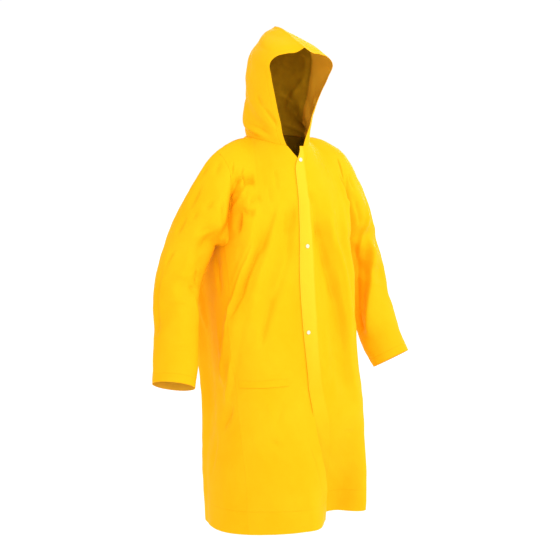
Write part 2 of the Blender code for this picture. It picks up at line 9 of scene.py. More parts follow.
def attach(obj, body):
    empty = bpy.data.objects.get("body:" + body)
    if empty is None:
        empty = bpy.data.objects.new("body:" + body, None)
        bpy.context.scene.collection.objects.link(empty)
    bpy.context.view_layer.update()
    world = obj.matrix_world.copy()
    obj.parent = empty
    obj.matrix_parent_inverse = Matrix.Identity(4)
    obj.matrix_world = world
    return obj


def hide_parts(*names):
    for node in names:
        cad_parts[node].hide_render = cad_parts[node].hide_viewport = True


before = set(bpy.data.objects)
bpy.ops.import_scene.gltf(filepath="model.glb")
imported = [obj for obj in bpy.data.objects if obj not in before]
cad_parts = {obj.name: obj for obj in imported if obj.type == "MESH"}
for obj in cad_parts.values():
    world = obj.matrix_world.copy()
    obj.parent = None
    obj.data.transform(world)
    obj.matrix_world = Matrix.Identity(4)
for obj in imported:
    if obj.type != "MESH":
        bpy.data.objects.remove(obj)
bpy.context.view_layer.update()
scene = bpy.context.scene
print("coat loaded,", len(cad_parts), "nodes")

# camera: turn and tilt in degrees, the point it looks at and its distance in metres
shot = dict(turn=-35.0, tilt=6.7, distance=4.5, target=(-0.0075, 0.0053, -0.43), lens=94.8)


def makeCamera():
    turn, tilt = math.radians(shot["turn"]), math.radians(shot["tilt"])
    back = Vector((math.sin(turn) * math.cos(tilt), -math.cos(turn) * math.cos(tilt), math.sin(tilt)))
    camera = bpy.data.objects.new("camera", bpy.data.cameras.new("camera"))
    camera.data.lens = shot["lens"]
    camera.data.sensor_width = 36
    camera.data.clip_end = 60
    camera.location = Vector(shot["target"]) + back * shot["distance"]
    camera.rotation_euler = (-back).to_track_quat("-Z", "Y").to_euler()
    scene.collection.objects.link(camera)
    scene.camera = camera


makeCamera()


def rowsOf(columns, rows):
    return [dict(zip(columns.split(), row)) for row in rows]


# folds run from a0, z0 to a1, z1; wide, high, fade and bow are in millimetres; lean is 0.3 unless given
def foldRows(rows):
    folds = []
    for fold in rowsOf("a0 z0 a1 z1 wide high fade bow lean", rows):
        small = {name: fold[name] / 1000 for name in ("wide", "high", "fade", "bow") if name in fold}
        folds.append({"lean": 0.3, **fold, **small})
    return folds


# the cut of the coat, in metres: the same sizes as the fixed frame has
coat = dict(
    hemZ=-1.165, underarmZ=-0.310, quarter=0.35, edgeGap=0.00005, rightHood=0.100, leftHood=0.052,
    centreNeck=(0, -0.081, -0.022), neckSide=(0.094, 0.034, 0.004), neckBack=(0, 0.122, 0.012),
    neckPlace=0.42, neckStart=0.055, neckFront=0.050, neckRear=0.045, neckLean=0.1,
    shoulderTip=(0.226, 0.020, -0.036), shoulderBow=0.011,
)

# level lines of the body from the hem up: widest point, centre front and back, how square they are, side seam
rightLevels = rowsOf("z sideX sideY frontY frontSquare backY backSquare seam", [
    (-1.165, -0.256, -0.030, -0.200, 0.50, 0.148, 0.69, 0.63),
    (-1.000, -0.246, -0.014, -0.180, 0.64, 0.163, 0.75, 0.64),
    (-0.800, -0.232,  0.002, -0.152, 0.76, 0.176, 0.78, 0.72),
    (-0.500, -0.238,  0.010, -0.138, 0.80, 0.196, 0.88, 0.79),
    (-0.400, -0.232,  0.008, -0.134, 0.80, 0.192, 0.86, 0.83),
    (-0.310, -0.212,  0.000, -0.128, 0.76, 0.182, 0.82, 1.00),
])
leftLevels = rowsOf("z sideX sideY frontY frontSquare backY backSquare seam", [
    (-1.165, 0.242, 0.006, -0.125, 0.92, 0.148, 0.67, 0.80),
    (-1.000, 0.258, 0.006, -0.146, 0.90, 0.163, 0.78, 0.80),
    (-0.800, 0.250, 0.006, -0.152, 0.88, 0.176, 0.84, 0.81),
    (-0.660, 0.236, 0.009, -0.144, 0.85, 0.188, 0.84, 0.82),
    (-0.500, 0.232, 0.010, -0.138, 0.84, 0.196, 0.84, 0.83),
    (-0.400, 0.228, 0.008, -0.134, 0.82, 0.192, 0.84, 0.86),
    (-0.310, 0.212, 0.000, -0.128, 0.76, 0.182, 0.82, 1.00),
])

# how each column of the yoke leaves the underarm level and meets the neckline and shoulder seam
frontPulls = rowsOf("u lowX lowY lowZ topX topY topZ", [
    (0.00,  0.000,  0.006, 0.090,  0.000, 0.018, 0.070),
    (0.20,  0.000,  0.006, 0.100, -0.018, 0.042, 0.058),
    (0.42,  0.004,  0.004, 0.110, -0.038, 0.064, 0.038),
    (0.75,  0.000, -0.022, 0.085, -0.010, 0.080, 0.034),
    (1.00, -0.012, -0.095, 0.030,  0.020, 0.080, 0.028),
])
backPulls = rowsOf("u lowX lowY lowZ topX topY topZ", [
    (0.00,  0.000, -0.012, 0.110,  0.000, -0.036, 0.066),
    (0.42,  0.002, -0.010, 0.115, -0.040, -0.078, 0.034),
    (0.75,  0.000,  0.015, 0.090, -0.008, -0.080, 0.032),
    (1.00, -0.012,  0.095, 0.030,  0.020, -0.080, 0.028),
])

# free front edges from the hem (v -1) to the neck (v 1)
leftEdge = rowsOf("v u", [
    (-1, 0.09), (-0.875, 0.062), (-0.75, 0.038), (-0.6875, 0.025), (-0.625, 0.01), (-0.5625, -0.006),
    (-0.5, -0.02), (-0.4, -0.036), (-0.3, -0.05), (-0.1, -0.066), (0, -0.066), (0.44, -0.056), (1, -0.052),
])
rightEdge = rowsOf("v u", [
    (-1, -0.265), (-0.9375, -0.205), (-0.875, -0.15), (-0.8125, -0.104), (-0.75, -0.062), (-0.6875, -0.032),
    (-0.625, -0.018), (-0.5625, -0.016), (-0.5, -0.026), (-0.4375, -0.032), (-0.375, -0.036), (0, -0.038),
    (0.5, -0.04), (1, -0.052),
])

# large folds of the body: a counts quarters round from the centre front, z is the height in metres
largeFolds = foldRows([
    (0.72, -2, 0.7, -0.9, 60, 30, 300), (-0.11, -0.16, -0.43, -0.58, 24, -14, 130),
    (-0.28, -0.18, -0.8, -0.56, 28, -17, 130), (-0.5, -0.26, -0.93, -0.76, 28, 12, 150),
    (0.115, -0.15, 0.31, -0.86, 26, -19, 160), (0.21, -0.16, 0.43, -0.66, 22, 10, 130),
    (0.33, -0.18, 0.62, -0.6, 28, -14, 130), (0.62, -0.12, 0.86, -0.4, 22, 8, 90),
    (1.2, -0.26, 1.32, -0.9, 32, 13, 170), (1.46, -0.14, 1.6, -0.72, 34, -16, 180),
    (1.92, -0.28, 1.84, -1.6, 40, 15, 240), (2.24, -0.14, 2.16, -0.8, 34, -15, 180),
    (2.62, -0.24, 2.5, -1.6, 38, 15, 220), (2.84, -0.38, 2.8, -1, 32, -13, 190),
])
rightHemFold = foldRows([(0.4, -2, 0.3, -0.84, 75, -74, 360)])
leftHemFold = foldRows([(0.34, -2, 0.24, -0.78, 70, -62, 380)])

# small creases of the body, placed in the same way
bodyCreases = foldRows([
    (-0.155, -0.205, -0.145, -0.29, 5, -3.4, 25, 3), (-0.225, -0.098, -0.225, -0.165, 5, -3, 20, 2, 0.2),
    (-0.3, -0.15, -0.29, -0.205, 5, -1.8, 20, -2, 0.2), (-0.115, -0.15, -0.11, -0.64, 16, -3, 80, 4, 0.2),
    (-0.07, -0.18, -0.145, -0.37, 8, -6.2, 50, -6, 0.4), (-0.11, -0.3, -0.29, -0.495, 9, -6.6, 60, 8, -0.3),
    (-0.235, -0.42, -0.42, -0.62, 10, -6, 60, 5, 0.4), (-0.23, -0.19, -0.46, -0.345, 9, -6.8, 50, 6, 0.4),
    (-0.39, -0.285, -0.63, -0.47, 10, -7.8, 60, -6), (-0.56, -0.405, -0.83, -0.54, 9, -6.2, 60, 8),
    (-0.53, -0.28, -0.84, -0.53, 9, 5.5, 60, 6, -0.4), (-0.76, -0.45, -0.96, -0.74, 9, 5.5, 70, 4, -0.3),
    (-0.44, -0.156, -0.72, -0.15, 10, -14, 30, -6), (-0.62, -0.14, -0.88, -0.138, 7, -10, 25, -8, -0.3),
    (-0.9, -0.168, -0.62, -0.176, 6, 6, 25, 6, 0.4), (-0.64, -0.11, -0.74, -0.124, 5, -3, 14, 2, 0.2),
    (-0.6, -0.16, -0.9, -0.205, 7, 4.5, 30, 5), (-0.37, -0.196, -0.6, -0.205, 6, -5.5, 25, -6),
    (-0.46, -0.222, -0.75, -0.208, 7, -9.5, 30, 8, -0.3), (-0.74, -0.2, -0.8, -0.275, 14, -17, 40, 6),
    (-0.88, -0.07, -0.925, -0.112, 6, -3.2, 16, 2), (-0.74, -0.62, -0.92, -0.8, 11, 8, 60, 6),
    (-0.78, -0.77, -0.98, -0.87, 12, -8, 50, 6), (-0.42, -0.885, -0.25, -0.91, 10, -3.6, 40, 6),
    (-0.2, -0.76, -0.33, -0.85, 12, -2.6, 50, 6), (-0.005, -0.11, -0.005, -0.76, 20, 4, 90, 3, 0.2),
    (0.09, -0.2, 0.085, -0.7, 14, -3.4, 90, 4), (0.03, -0.14, 0.14, -0.31, 8, -6, 45, 4, -0.3),
    (0.095, -0.23, 0.195, -0.41, 9, -7, 50, 5, 0.4), (0.15, -0.32, 0.265, -0.51, 10, -6.6, 60, -6),
    (0.205, -0.41, 0.32, -0.66, 10, -6, 70, 6), (0.205, -0.215, 0.24, -0.355, 7, 4.5, 60, 4),
    (0.235, -0.34, 0.345, -0.6, 8, 4.5, 80, -6, 0.2), (0.28, -0.235, 0.33, -0.335, 7, -4.8, 40, 3),
    (0.33, -0.32, 0.38, -0.43, 8, -4.8, 50, 5, -0.3), (0.16, -0.62, 0.11, -0.8, 10, -3.4, 80, 8),
    (0.22, -0.795, 0.42, -0.812, 9, -2.2, 50, 8, 0.2), (0.2, -0.885, 0.44, -0.905, 9, -2.2, 50, -6, 0.2),
    (0.8, -0.07, 0.86, -0.14, 6, -6, 25, 3, 0.4), (0.64, -0.135, 0.9, -0.15, 8, -6.5, 30, -8),
    (0.52, -0.2, 0.82, -0.22, 7, 4, 30, 5), (0.86, -0.29, 1.06, -0.42, 9, -4.5, 50, 6),
    (0.95, -0.46, 1.08, -0.64, 10, 4, 60, 6, -0.3), (1.28, -0.11, 1.09, -0.18, 7, -4.5, 30, 6),
    (1.4, -0.15, 1.18, -0.26, 8, -5, 40, -6), (1.48, -0.21, 1.3, -0.42, 9, -5, 60, 8, -0.3),
    (1.56, -0.3, 1.42, -0.56, 9, 4.5, 70, 6), (1.7, -0.16, 1.64, -0.33, 8, -4, 50, 5),
    (1.82, -0.42, 1.7, -0.76, 10, -4.2, 80, 8), (1.98, -0.12, 2.01, -0.24, 7, -3.4, 40, 4),
    (2.06, -0.3, 2.02, -0.62, 9, 4, 80, -6, -0.3), (2.3, -0.17, 2.38, -0.36, 8, -4.6, 60, 6),
    (2.42, -0.24, 2.56, -0.52, 9, -5, 70, -8), (2.56, -0.15, 2.86, -0.2, 8, -4.8, 40, 8),
    (2.64, -0.33, 2.82, -0.6, 9, 4.5, 70, 6), (2.7, -0.09, 2.9, -0.12, 6, -3.6, 25, -5),
    (2.9, -0.33, 3.08, -0.47, 9, -5.2, 50, 6, -0.3), (3.02, -0.52, 3.12, -0.76, 10, 4.2, 70, 6),
    (2.5, -0.7, 2.38, -0.98, 11, -3.6, 80, 8), (1.48, -0.76, 1.4, -1.01, 11, -3.6, 80, -8),
    (2.98, -0.86, 2.86, -1.02, 10, -3.4, 60, 6), (0.96, -0.78, 1.06, -0.98, 10, -3.4, 60, 6),
])


# the value of one column at some places, by a smooth curve through the rows
def columnValue(rows, key, name, at):
    rows = sorted(rows, key=lambda row: row[key])
    places = np.array([row[key] for row in rows])
    values = np.array([row[name] for row in rows])
    slopes = np.gradient(values, places)
    at = np.clip(at, places[0], places[-1])
    i = np.clip(np.searchsorted(places, at) - 1, 0, len(places) - 2)
    span = places[i + 1] - places[i]
    t = (at - places[i]) / span
    start = (1 + 2 * t) * (1 - t) ** 2 * values[i] + t * (1 - t) ** 2 * span * slopes[i]
    return start + t * t * (3 - 2 * t) * values[i + 1] - t * t * (1 - t) * span * slopes[i + 1]


def rowAt(rows, key, at):
    return {name: columnValue(rows, key, name, at) for name in rows[0]}


def cubicLine(p0, p1, p2, p3, t):
    t = np.asarray(t)[:, None]
    r = 1 - t
    return r**3 * p0 + 3 * r * r * t * p1 + 3 * r * t * t * p2 + t**3 * p3


def pointsOf(x, y, z):
    return np.stack(np.broadcast_arrays(x, y, z), axis=-1).astype(float)


def smoothStep(value):
    value = np.clip(value, 0, 1)
    return value * value * (3 - 2 * value)


def unitOf(vectors):
    return vectors / np.maximum(np.linalg.norm(vectors, axis=-1), 1e-9)[..., None]


# heights v from -1 at the hem to 0 at the underarm
def lowZ(v):
    return coat["underarmZ"] + (coat["underarmZ"] - coat["hemZ"]) * np.minimum(v, 0)


# a level line on one side, u 0 at the centre to 1 at the widest point
def bodyLevel(side, back, u, z):
    levels = rightLevels if side < 0 else leftLevels
    value = rowAt(levels, "z", z)
    centreY = value["backY"] if back else value["frontY"]
    square = value["backSquare"] if back else value["frontSquare"]
    beyond = np.where(u < 0, -1, 1)
    return cubicLine(
        pointsOf(0, centreY, z),
        pointsOf(beyond * square * value["sideX"], centreY, z),
        pointsOf(beyond * value["sideX"], value["sideY"] + square * (centreY - value["sideY"]), z),
        pointsOf(beyond * value["sideX"], value["sideY"], z),
        np.abs(u),
    )


# the neckline up to the neck side point, then the shoulder seam
def topLine(side, back, u):
    hand, u = side * np.where(u < 0, -1, 1), np.abs(u)
    neckSide, tip = np.array(coat["neckSide"]), np.array(coat["shoulderTip"])
    start = np.array(coat["neckBack"] if back else coat["centreNeck"])
    reach = coat["neckRear"] if back else -coat["neckFront"]
    neck = cubicLine(
        start, start + [coat["neckStart"], 0, 0], neckSide + [0, reach, reach * coat["neckLean"]], neckSide,
        np.clip(u / coat["neckPlace"], 0, 1),
    )
    r = np.clip((u - coat["neckPlace"]) / (1 - coat["neckPlace"]), 0, 1)
    bow = coat["shoulderBow"] * np.sin(math.pi * r)
    seam = neckSide + r[:, None] * (tip - neckSide) + pointsOf(0, 0, bow)
    return np.where((u > coat["neckPlace"])[:, None], seam, neck) * pointsOf(hand, 1, 1)


# the hollow at the front of each armhole, where the arm has pushed the cloth in
tuck = dict(
    rightDeep=0.050, leftDeep=0.015, backShare=0.45, inward=0.10, start=0.66, full=0.90,
    low=0.03, rise=0.30, high=0.78, fall=0.42,
)


def armTuck(side, back, u, v):
    rise = smoothStep((v - tuck["low"]) / tuck["rise"]) * smoothStep((tuck["high"] - v) / tuck["fall"])
    depth = (tuck["rightDeep"] if side < 0 else tuck["leftDeep"]) * (tuck["backShare"] if back else 1)
    share = smoothStep((np.abs(u) - tuck["start"]) / (tuck["full"] - tuck["start"])) * rise * depth
    return pointsOf(-side * tuck["inward"] * share, (-1 if back else 1) * share, 0)


# the smooth body: v is -1 at the hem, 0 at the underarm and 1 at the neck and shoulder line
def bodyForm(side, back, u, v):
    pulls = backPulls if back else frontPulls
    pull = rowAt(pulls, "u", np.abs(u))
    start = bodyLevel(side, back, u, np.full_like(u, coat["underarmZ"]))
    end = topLine(side, back, u)
    upper = cubicLine(
        start,
        start + pointsOf(side * pull["lowX"], pull["lowY"], pull["lowZ"]),
        end - pointsOf(side * pull["topX"], pull["topY"], pull["topZ"]),
        end,
        np.clip(v, 0, 1),
    )
    return np.where((v > 0)[:, None], upper + armTuck(side, back, u, v), bodyLevel(side, back, u, lowZ(v)))


# the body with the corner between neckline and shoulder seam eased out below them
easing = dict(reach=0.14, soft=0.25, weights=((-1, 1), (-0.5, 4), (0, 6), (0.5, 4), (1, 1)))


def softBody(side, back, u, v):
    reach = easing["reach"]
    for away in (1 - v, v, 1 - np.abs(u)):
        reach = reach * smoothStep(away / easing["soft"])
    total = sum(bodyForm(side, back, u + step * reach, v) * weight for step, weight in easing["weights"])
    return total / sum(weight for step, weight in easing["weights"])


# the back and what its seams reach of the sides, with a in quarters from the centre front
def backPoint(a, v):
    found = np.zeros((len(a), 3))
    for chosen, side, back, u in (
        (a < 1, 1, False, a),
        ((a >= 1) & (a < 2), 1, True, 2 - a),
        ((a >= 2) & (a <= 3), -1, True, a - 2),
        (a > 3, -1, False, 4 - a),
    ):
        if chosen.any():
            found[chosen] = softBody(side, back, u[chosen], v[chosen])
    return found


# how far each point is along a fold's line (0 to 1) and aside of it, and what share of the fold is left there
def placeOnFold(fold, across, down, size):
    start = np.array([fold["a0"] * size, fold["z0"]])
    run = np.array([fold["a1"] * size, fold["z1"]]) - start
    length = np.linalg.norm(run)
    off = np.stack([across * size, down], axis=-1) - start
    along = off @ run / length
    aside = (off[..., 0] * run[1] - off[..., 1] * run[0]) / length
    left = smoothStep(along / fold["fade"]) * smoothStep((length - along) / fold["fade"])
    return along / length, aside, left


# how far a fold and a crease reach to each side, in widths, and how round a crease's crest is
crest = dict(foldReach=1.9, creaseReach=2.2, rounding=0.05)


# soft ridges and troughs with a broad round crest, as the frame has them
def foldHeight(folds, across, down, size):
    height = np.zeros_like(across)
    for fold in folds:
        _, aside, left = placeOnFold(fold, across, down, size)
        share = np.clip(1 - (aside / (crest["foldReach"] * fold["wide"])) ** 2, 0, 1) ** 2
        height += fold["high"] * share * left
    return height


# creases with a firm crest that bow sideways and lean
def creaseHeight(creases, across, down, size):
    height = np.zeros_like(across)
    for crease in creases:
        along, aside, left = placeOnFold(crease, across, down, size)
        t = np.clip(along, 0, 1)
        aside = aside + crease["bow"] * 4 * t * (1 - t)
        wide = crease["wide"] * np.where(aside < 0, 1 - crease["lean"], 1 + crease["lean"])
        fall = np.sqrt((aside / wide) ** 2 + crest["rounding"]) - math.sqrt(crest["rounding"])
        height += crease["high"] * np.clip(1 - fall / crest["creaseReach"], 0, 1) ** 2 * left
    return height


# the height of folds round a form whose places begin again after a whole turn
def heightAround(height, folds, across, down, size, whole):
    return sum(height(folds, across + turn, down, size) for turn in (-whole, 0, whole))


# outward normals of a form, by small steps both ways
def formNormals(form, u, v):
    step = 1e-3
    return unitOf(np.cross(form(u + step, v) - form(u - step, v), form(u, v + step) - form(u, v - step)))


# a form with its surface moved out by a height; flip is -1 where its u runs the other way round
def raisedForm(form, u, v, height, flip):
    places = u.ravel(), v.ravel()
    moved = form(*places) + formNormals(form, *places) * flip * height.reshape(-1, 1)
    return moved.reshape(*u.shape, 3)


# where the body's folds die away beside the armhole and below the neck, and how much deeper they are made
folding = dict(
    belowArmhole=0.06, foldFades=(0.12, 0.10), creaseFades=(0.03, 0.03), frontCreases=1.35, backCreases=0.85,
    backEdge=0.35, backFolds=0.9, backAt=1.80, backReach=0.70, backSoft=0.40,
)


# the smooth form with its folds and creases; flip is -1 where a runs against u
def foldedForm(folds, form, a, v, flip=1, over=0):
    z = lowZ(v) - coat["underarmZ"] * np.maximum(v, 0)
    large = heightAround(foldHeight, largeFolds + folds, a, z, coat["quarter"], 4)
    fine = heightAround(creaseHeight, bodyCreases, a, z, coat["quarter"], 4)
    fromArmhole = np.abs(1 - np.abs(np.where(np.abs(a) <= 1, a, a - 2)))
    above = smoothStep((v + folding["belowArmhole"]) / folding["belowArmhole"])

    def fading(armhole, top):
        return (1 - above * (1 - smoothStep(fromArmhole / armhole))) * smoothStep((1 - v) / top)

    onBack = smoothStep((folding["backReach"] - np.abs(a - folding["backAt"])) / folding["backSoft"])
    large *= fading(*folding["foldFades"]) * (1 + folding["backFolds"] * onBack)
    behind = smoothStep((1 - np.abs(a - 2)) / folding["backEdge"])
    fine *= fading(*folding["creaseFades"]) * (folding["frontCreases"] + folding["backCreases"] * behind)
    return raisedForm(form, a * flip, v, large + fine + over, flip)


# places from low to high about `step` apart, closer together round each line
def spacedPlaces(low, high, step, lines, close, reach):
    base = np.linspace(low, high, max(2, round((high - low) / step) + 1))
    for line in lines:
        extra = np.arange(max(low, line - reach), min(high, line + reach) + close / 2, close)
        base = np.concatenate([base[(base < extra[0] - close) | (base > extra[-1] + close)], extra])
    base = np.unique(np.round(np.concatenate([base, [low, high]]), 7))
    keep = np.concatenate([[True], np.diff(base) > close * 0.4])
    keep[-1] = True
    return base[keep]


def seamPlace(side, v):
    levels = rightLevels if side < 0 else leftLevels
    return np.where(v < 0, columnValue(levels, "z", "seam", lowZ(v)), 1)


# distance in metres of each point from an edge of its grid, along the rows (axis 1) or columns (axis 0)
def fromEdge(grid, axis, last):
    steps = np.linalg.norm(np.diff(grid, axis=axis), axis=-1)
    zero = np.zeros_like(steps[:, :1] if axis else steps[:1])
    run = np.concatenate([zero, np.cumsum(steps, axis=axis)], axis=axis)
    return (run[:, -1:] if axis else run[-1:]) - run if last else run


# outward normals of a grid; a ring's last column is its first
def gridNormals(grid, ring=False):
    if ring:
        wide = np.concatenate([grid[:, -2:-1], grid, grid[:, 1:2]], axis=1)
        across = np.gradient(wide, axis=1)[:, 1:-1]
    else:
        across = np.gradient(grid, axis=1)
    return unitOf(np.cross(across, np.gradient(grid, axis=0)))


# welded seams: a band beside the seam line, its height, the pucker of the cloth along it and the painted
# shade at its edge
weld = dict(
    width=0.0075, neckWidth=0.006, height=0.0004, softness=0.0013, pucker=0.0005, puckerReach=0.016,
    dark=0.12, darkReach=0.0022,
)


def weldBand(away, width=weld["width"]):
    soft = weld["softness"]
    return weld["height"] * smoothStep(away / soft) * smoothStep((width - away) / soft)


def weldShade(away):
    return weld["dark"] * smoothStep((weld["darkReach"] - away) / weld["darkReach"])


def seamPucker(away, along):
    waves = np.sin(along * 310 + 1.3 * np.sin(along * 57)) * (0.6 + 0.4 * np.sin(along * 83 + 1.0))
    return weld["pucker"] * waves * smoothStep((weld["puckerReach"] - away) / weld["puckerReach"])


# a fine pressed line at a distance from an edge: its relief and its shade
def pressedLine(away, at, dark, depth=0.0006, half=0.0016):
    share = np.clip(1 - ((away - at) / half) ** 2, 0, 1) ** 2
    return -depth * share, dark * share


# soft unevenness of the whole sheet
def sheetWaves(grid, size=0.0006):
    x, y, z = grid[..., 0], grid[..., 1], grid[..., 2]
    waves = np.sin(x * 61 + 2.1 * np.sin(z * 23 + y * 17))
    waves *= np.sin(z * 47 + 1.7 * np.sin(x * 29 - y * 31) + 0.6)
    waves += 0.6 * np.sin(z * 96 + x * 40 + 2.4 * np.sin(y * 44 + z * 19)) * np.sin(x * 88 - y * 71 + 1.9)
    return size * waves


# yellow PVC with its painted shade along lines and seams and the painted highlight of the band, its matt
# inner face in a darker brown that is painted shade with painted light where light falls in, and the ivory of
# the studs
pvc = dict(
    colour=(0.95, 0.490, 0.008, 1), deepColour=(0.94, 0.452, 0.005, 1), pressed=(0.86, 0.72, 0.50, 1),
    paintedBandLight=(0.96, 0.62, 0.036, 1), roughness=0.46, specular=0.5, ior=1.06,
    inside=(0.39, 0.210, 0.006, 1), deepInside=(0.30, 0.155, 0.005, 1), brightInside=(1.0, 0.53, 0.035, 1),
)
ivory = dict(colour=(0.80, 0.74, 0.56, 1), deepColour=(0.704, 0.6512, 0.4928, 1), roughness=0.28)


def addNode(tree, kind, **values):
    node = tree.nodes.new("ShaderNode" + kind)
    for name, value in values.items():
        if hasattr(node, name):
            setattr(node, name, value)
        else:
            node.inputs[name.replace("_", " ")].default_value = value
    return node


def startMaterial(name):
    material = bpy.data.materials.new(name)
    material.use_nodes = True
    return material, material.node_tree, material.node_tree.nodes["Principled BSDF"]


def addNoise(tree, place, **values):
    noise = addNode(tree, "TexNoise", **values)
    tree.links.new(place, noise.inputs["Vector"])
    return noise.outputs["Fac"]


# clouds of two tones
def addTones(tree, clouds, stops, colours):
    tone = addNode(tree, "ValToRGB")
    for element, stop, colour in zip(tone.color_ramp.elements, stops, colours):
        element.position, element.color = stop, colour
    tree.links.new(clouds, tone.inputs["Fac"])
    return tone.outputs["Color"]


# another colour where the sheet carries a mark
def addMark(tree, tone, mark, blend, colour):
    share = addNode(tree, "Attribute", attribute_name=mark)
    mixed = addNode(tree, "MixRGB", blend_type=blend, Color2=colour)
    tree.links.new(share.outputs["Fac"], mixed.inputs["Fac"])
    tree.links.new(tone, mixed.inputs["Color1"])
    return mixed.outputs["Color"]


# fine bumps laid over the shader's earlier ones
def addBump(tree, shader, noise, strength, distance):
    bump = addNode(tree, "Bump", Strength=strength, Distance=distance)
    tree.links.new(noise, bump.inputs["Height"])
    for socket in [link.from_socket for link in shader.inputs["Normal"].links]:
        tree.links.new(socket, bump.inputs["Normal"])
    tree.links.new(bump.outputs["Normal"], shader.inputs["Normal"])


# roughness that follows the clouds
def addGloss(tree, shader, clouds, low, high, reach=(0, 1)):
    values = {"From Min": reach[0], "From Max": reach[1], "To Min": low, "To Max": high}
    gloss = addNode(tree, "MapRange", **values)
    tree.links.new(clouds, gloss.inputs["Value"])
    tree.links.new(gloss.outputs["Result"], shader.inputs["Roughness"])


def pvcMaterial(name, seed):
    material, tree, shader = startMaterial(name)
    shift = addNode(tree, "Mapping", Location=(seed * 1.7, seed * 0.9, seed * 2.3))
    tree.links.new(addNode(tree, "TexCoord").outputs["Object"], shift.inputs["Vector"])
    place = shift.outputs[0]
    clouds = addNoise(tree, place, Scale=7.0, Detail=4.0, Roughness=0.55)
    tone = addTones(tree, clouds, (0.30, 0.70), (pvc["deepColour"], pvc["colour"]))
    # painted shade along pressed lines and at the seams
    tone = addMark(tree, tone, "pressed", "MULTIPLY", pvc["pressed"])
    # painted highlight on the band
    tone = addMark(tree, tone, "paintedBandLight", "MIX", pvc["paintedBandLight"])
    tree.links.new(tone, shader.inputs["Base Color"])
    smudge = addNoise(tree, place, Scale=23.0, Detail=5.0, Roughness=0.6)
    addGloss(tree, shader, smudge, pvc["roughness"] - 0.05, pvc["roughness"] + 0.08, (0.3, 0.7))
    ripple = addNoise(tree, place, Scale=48.0, Detail=3.0, Roughness=0.45, Distortion=0.6)
    addBump(tree, shader, ripple, strength=0.6, distance=0.0006)
    grain = addNoise(tree, place, Scale=1100.0, Detail=2.0, Roughness=0.5)
    addBump(tree, shader, grain, strength=0.5, distance=0.00006)
    shader.inputs["Specular IOR Level"].default_value = pvc["specular"]
    shader.inputs["IOR"].default_value = pvc["ior"]
    return material


# the matt inner face of the cloth, a darker brown that is painted shade, mixed towards painted light where
# light falls in
def insideMaterial(name):
    material, tree, shader = startMaterial(name)
    place = addNode(tree, "TexCoord").outputs["Object"]
    clouds = addNoise(tree, place, Scale=40.0, Detail=4.0)
    tone = addTones(tree, clouds, (0.3, 0.7), (pvc["deepInside"], pvc["inside"]))
    tone = addMark(tree, tone, "lit", "MIX", pvc["brightInside"])
    tree.links.new(tone, shader.inputs["Base Color"])
    addBump(tree, shader, addNoise(tree, place, Scale=900.0, Detail=2.0), strength=0.4, distance=0.0001)
    shader.inputs["Roughness"].default_value = 0.7
    shader.inputs["IOR"].default_value = pvc["ior"]
    return material


def ivoryMaterial(name):
    material, tree, shader = startMaterial(name)
    place = addNode(tree, "TexCoord").outputs["Object"]
    clouds = addNoise(tree, place, Scale=420.0, Detail=4.0)
    tone = addTones(tree, clouds, (0.25, 0.6), (ivory["deepColour"], ivory["colour"]))
    tree.links.new(tone, shader.inputs["Base Color"])
    addBump(tree, shader, addNoise(tree, place, Scale=2600.0, Detail=2.0), strength=0.4, distance=0.00003)
    addGloss(tree, shader, clouds, ivory["roughness"] - 0.04, ivory["roughness"] + 0.10)
    return material


def addPiece(name, shape, *materials):
    mesh = bpy.data.meshes.new(name)
    shape.to_mesh(mesh)
    shape.free()
    for material in materials:
        mesh.materials.append(material)
    piece = bpy.data.objects.new(name, mesh)
    scene.collection.objects.link(piece)
    return piece


# a thin sheet of cloth through a grid of points, thickened towards the inside
def makeSheet(name, grid, shell, seed, pressed=None, paintedBandLight=None, lit=None, ring=False):
    rows, columns = grid.shape[:2]
    shape = bmesh.new()
    # marks kept on the points: painted shade along lines and seams, the painted highlight of the band,
    # painted light on the inner face
    layers = [shape.verts.layers.float.new(layer) for layer in ("pressed", "paintedBandLight", "lit")]
    made = bmesh.ops.create_grid(shape, x_segments=columns - 1, y_segments=rows - 1, size=0.5)
    blank = np.zeros(rows * columns)
    marks = [blank if mark is None else np.clip(mark, 0, 1).ravel() for mark in (pressed, paintedBandLight, lit)]
    for vertex, place, *values in zip(made["verts"], grid.reshape(-1, 3), *marks):
        vertex.co = place
        for layer, value in zip(layers, values):
            vertex[layer] = value
    if ring:
        bmesh.ops.remove_doubles(shape, verts=shape.verts, dist=1e-6)
    for face in shape.faces:
        face.smooth = True
    for edge in shape.edges:
        edge.smooth = not edge.is_boundary
    piece = addPiece(name, shape, pvcMaterial(name + "Pvc", seed), insideMaterial(name + "Inside"))
    wall = piece.modifiers.new("wall", "SOLIDIFY")
    wall.thickness, wall.offset, wall.material_offset = shell, -1, 1
    return piece


# hangs a finished piece on the root and hides the part of model.glb that it stands for
def fasten(piece, node):
    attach(piece, "root")
    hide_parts(node)


# the edges of a grid moved in by half the seam gap
def trimEdges(grid, normal, ring=False):
    moved = grid.copy()
    for row, sign in ((0, 1), (-1, -1)):
        edge = np.gradient(grid[row], axis=0)
        if ring:
            edge[0] = edge[-1] = grid[row, 1] - grid[row, -2]
        moved[row] += unitOf(np.cross(normal[row], edge)) * sign * coat["edgeGap"]
    if not ring:
        for column, sign in ((0, -1), (-1, 1)):
            edge = np.gradient(grid[:, column], axis=0)
            moved[:, column] += unitOf(np.cross(normal[:, column], edge)) * sign * coat["edgeGap"]
    return moved


# a grid with its relief pressed in and its edges trimmed, and the normals it had before
def pressInto(grid, relief, ring=False):
    normal = gridNormals(grid, ring)
    return trimEdges(grid + normal * relief[..., None], normal, ring), normal


def finishSheet(name, node, grid, relief, shell, seed, ring=False, **marks):
    grid, _ = pressInto(grid, relief, ring)
    fasten(makeSheet(name, grid, shell, seed, ring=ring, **marks), node)


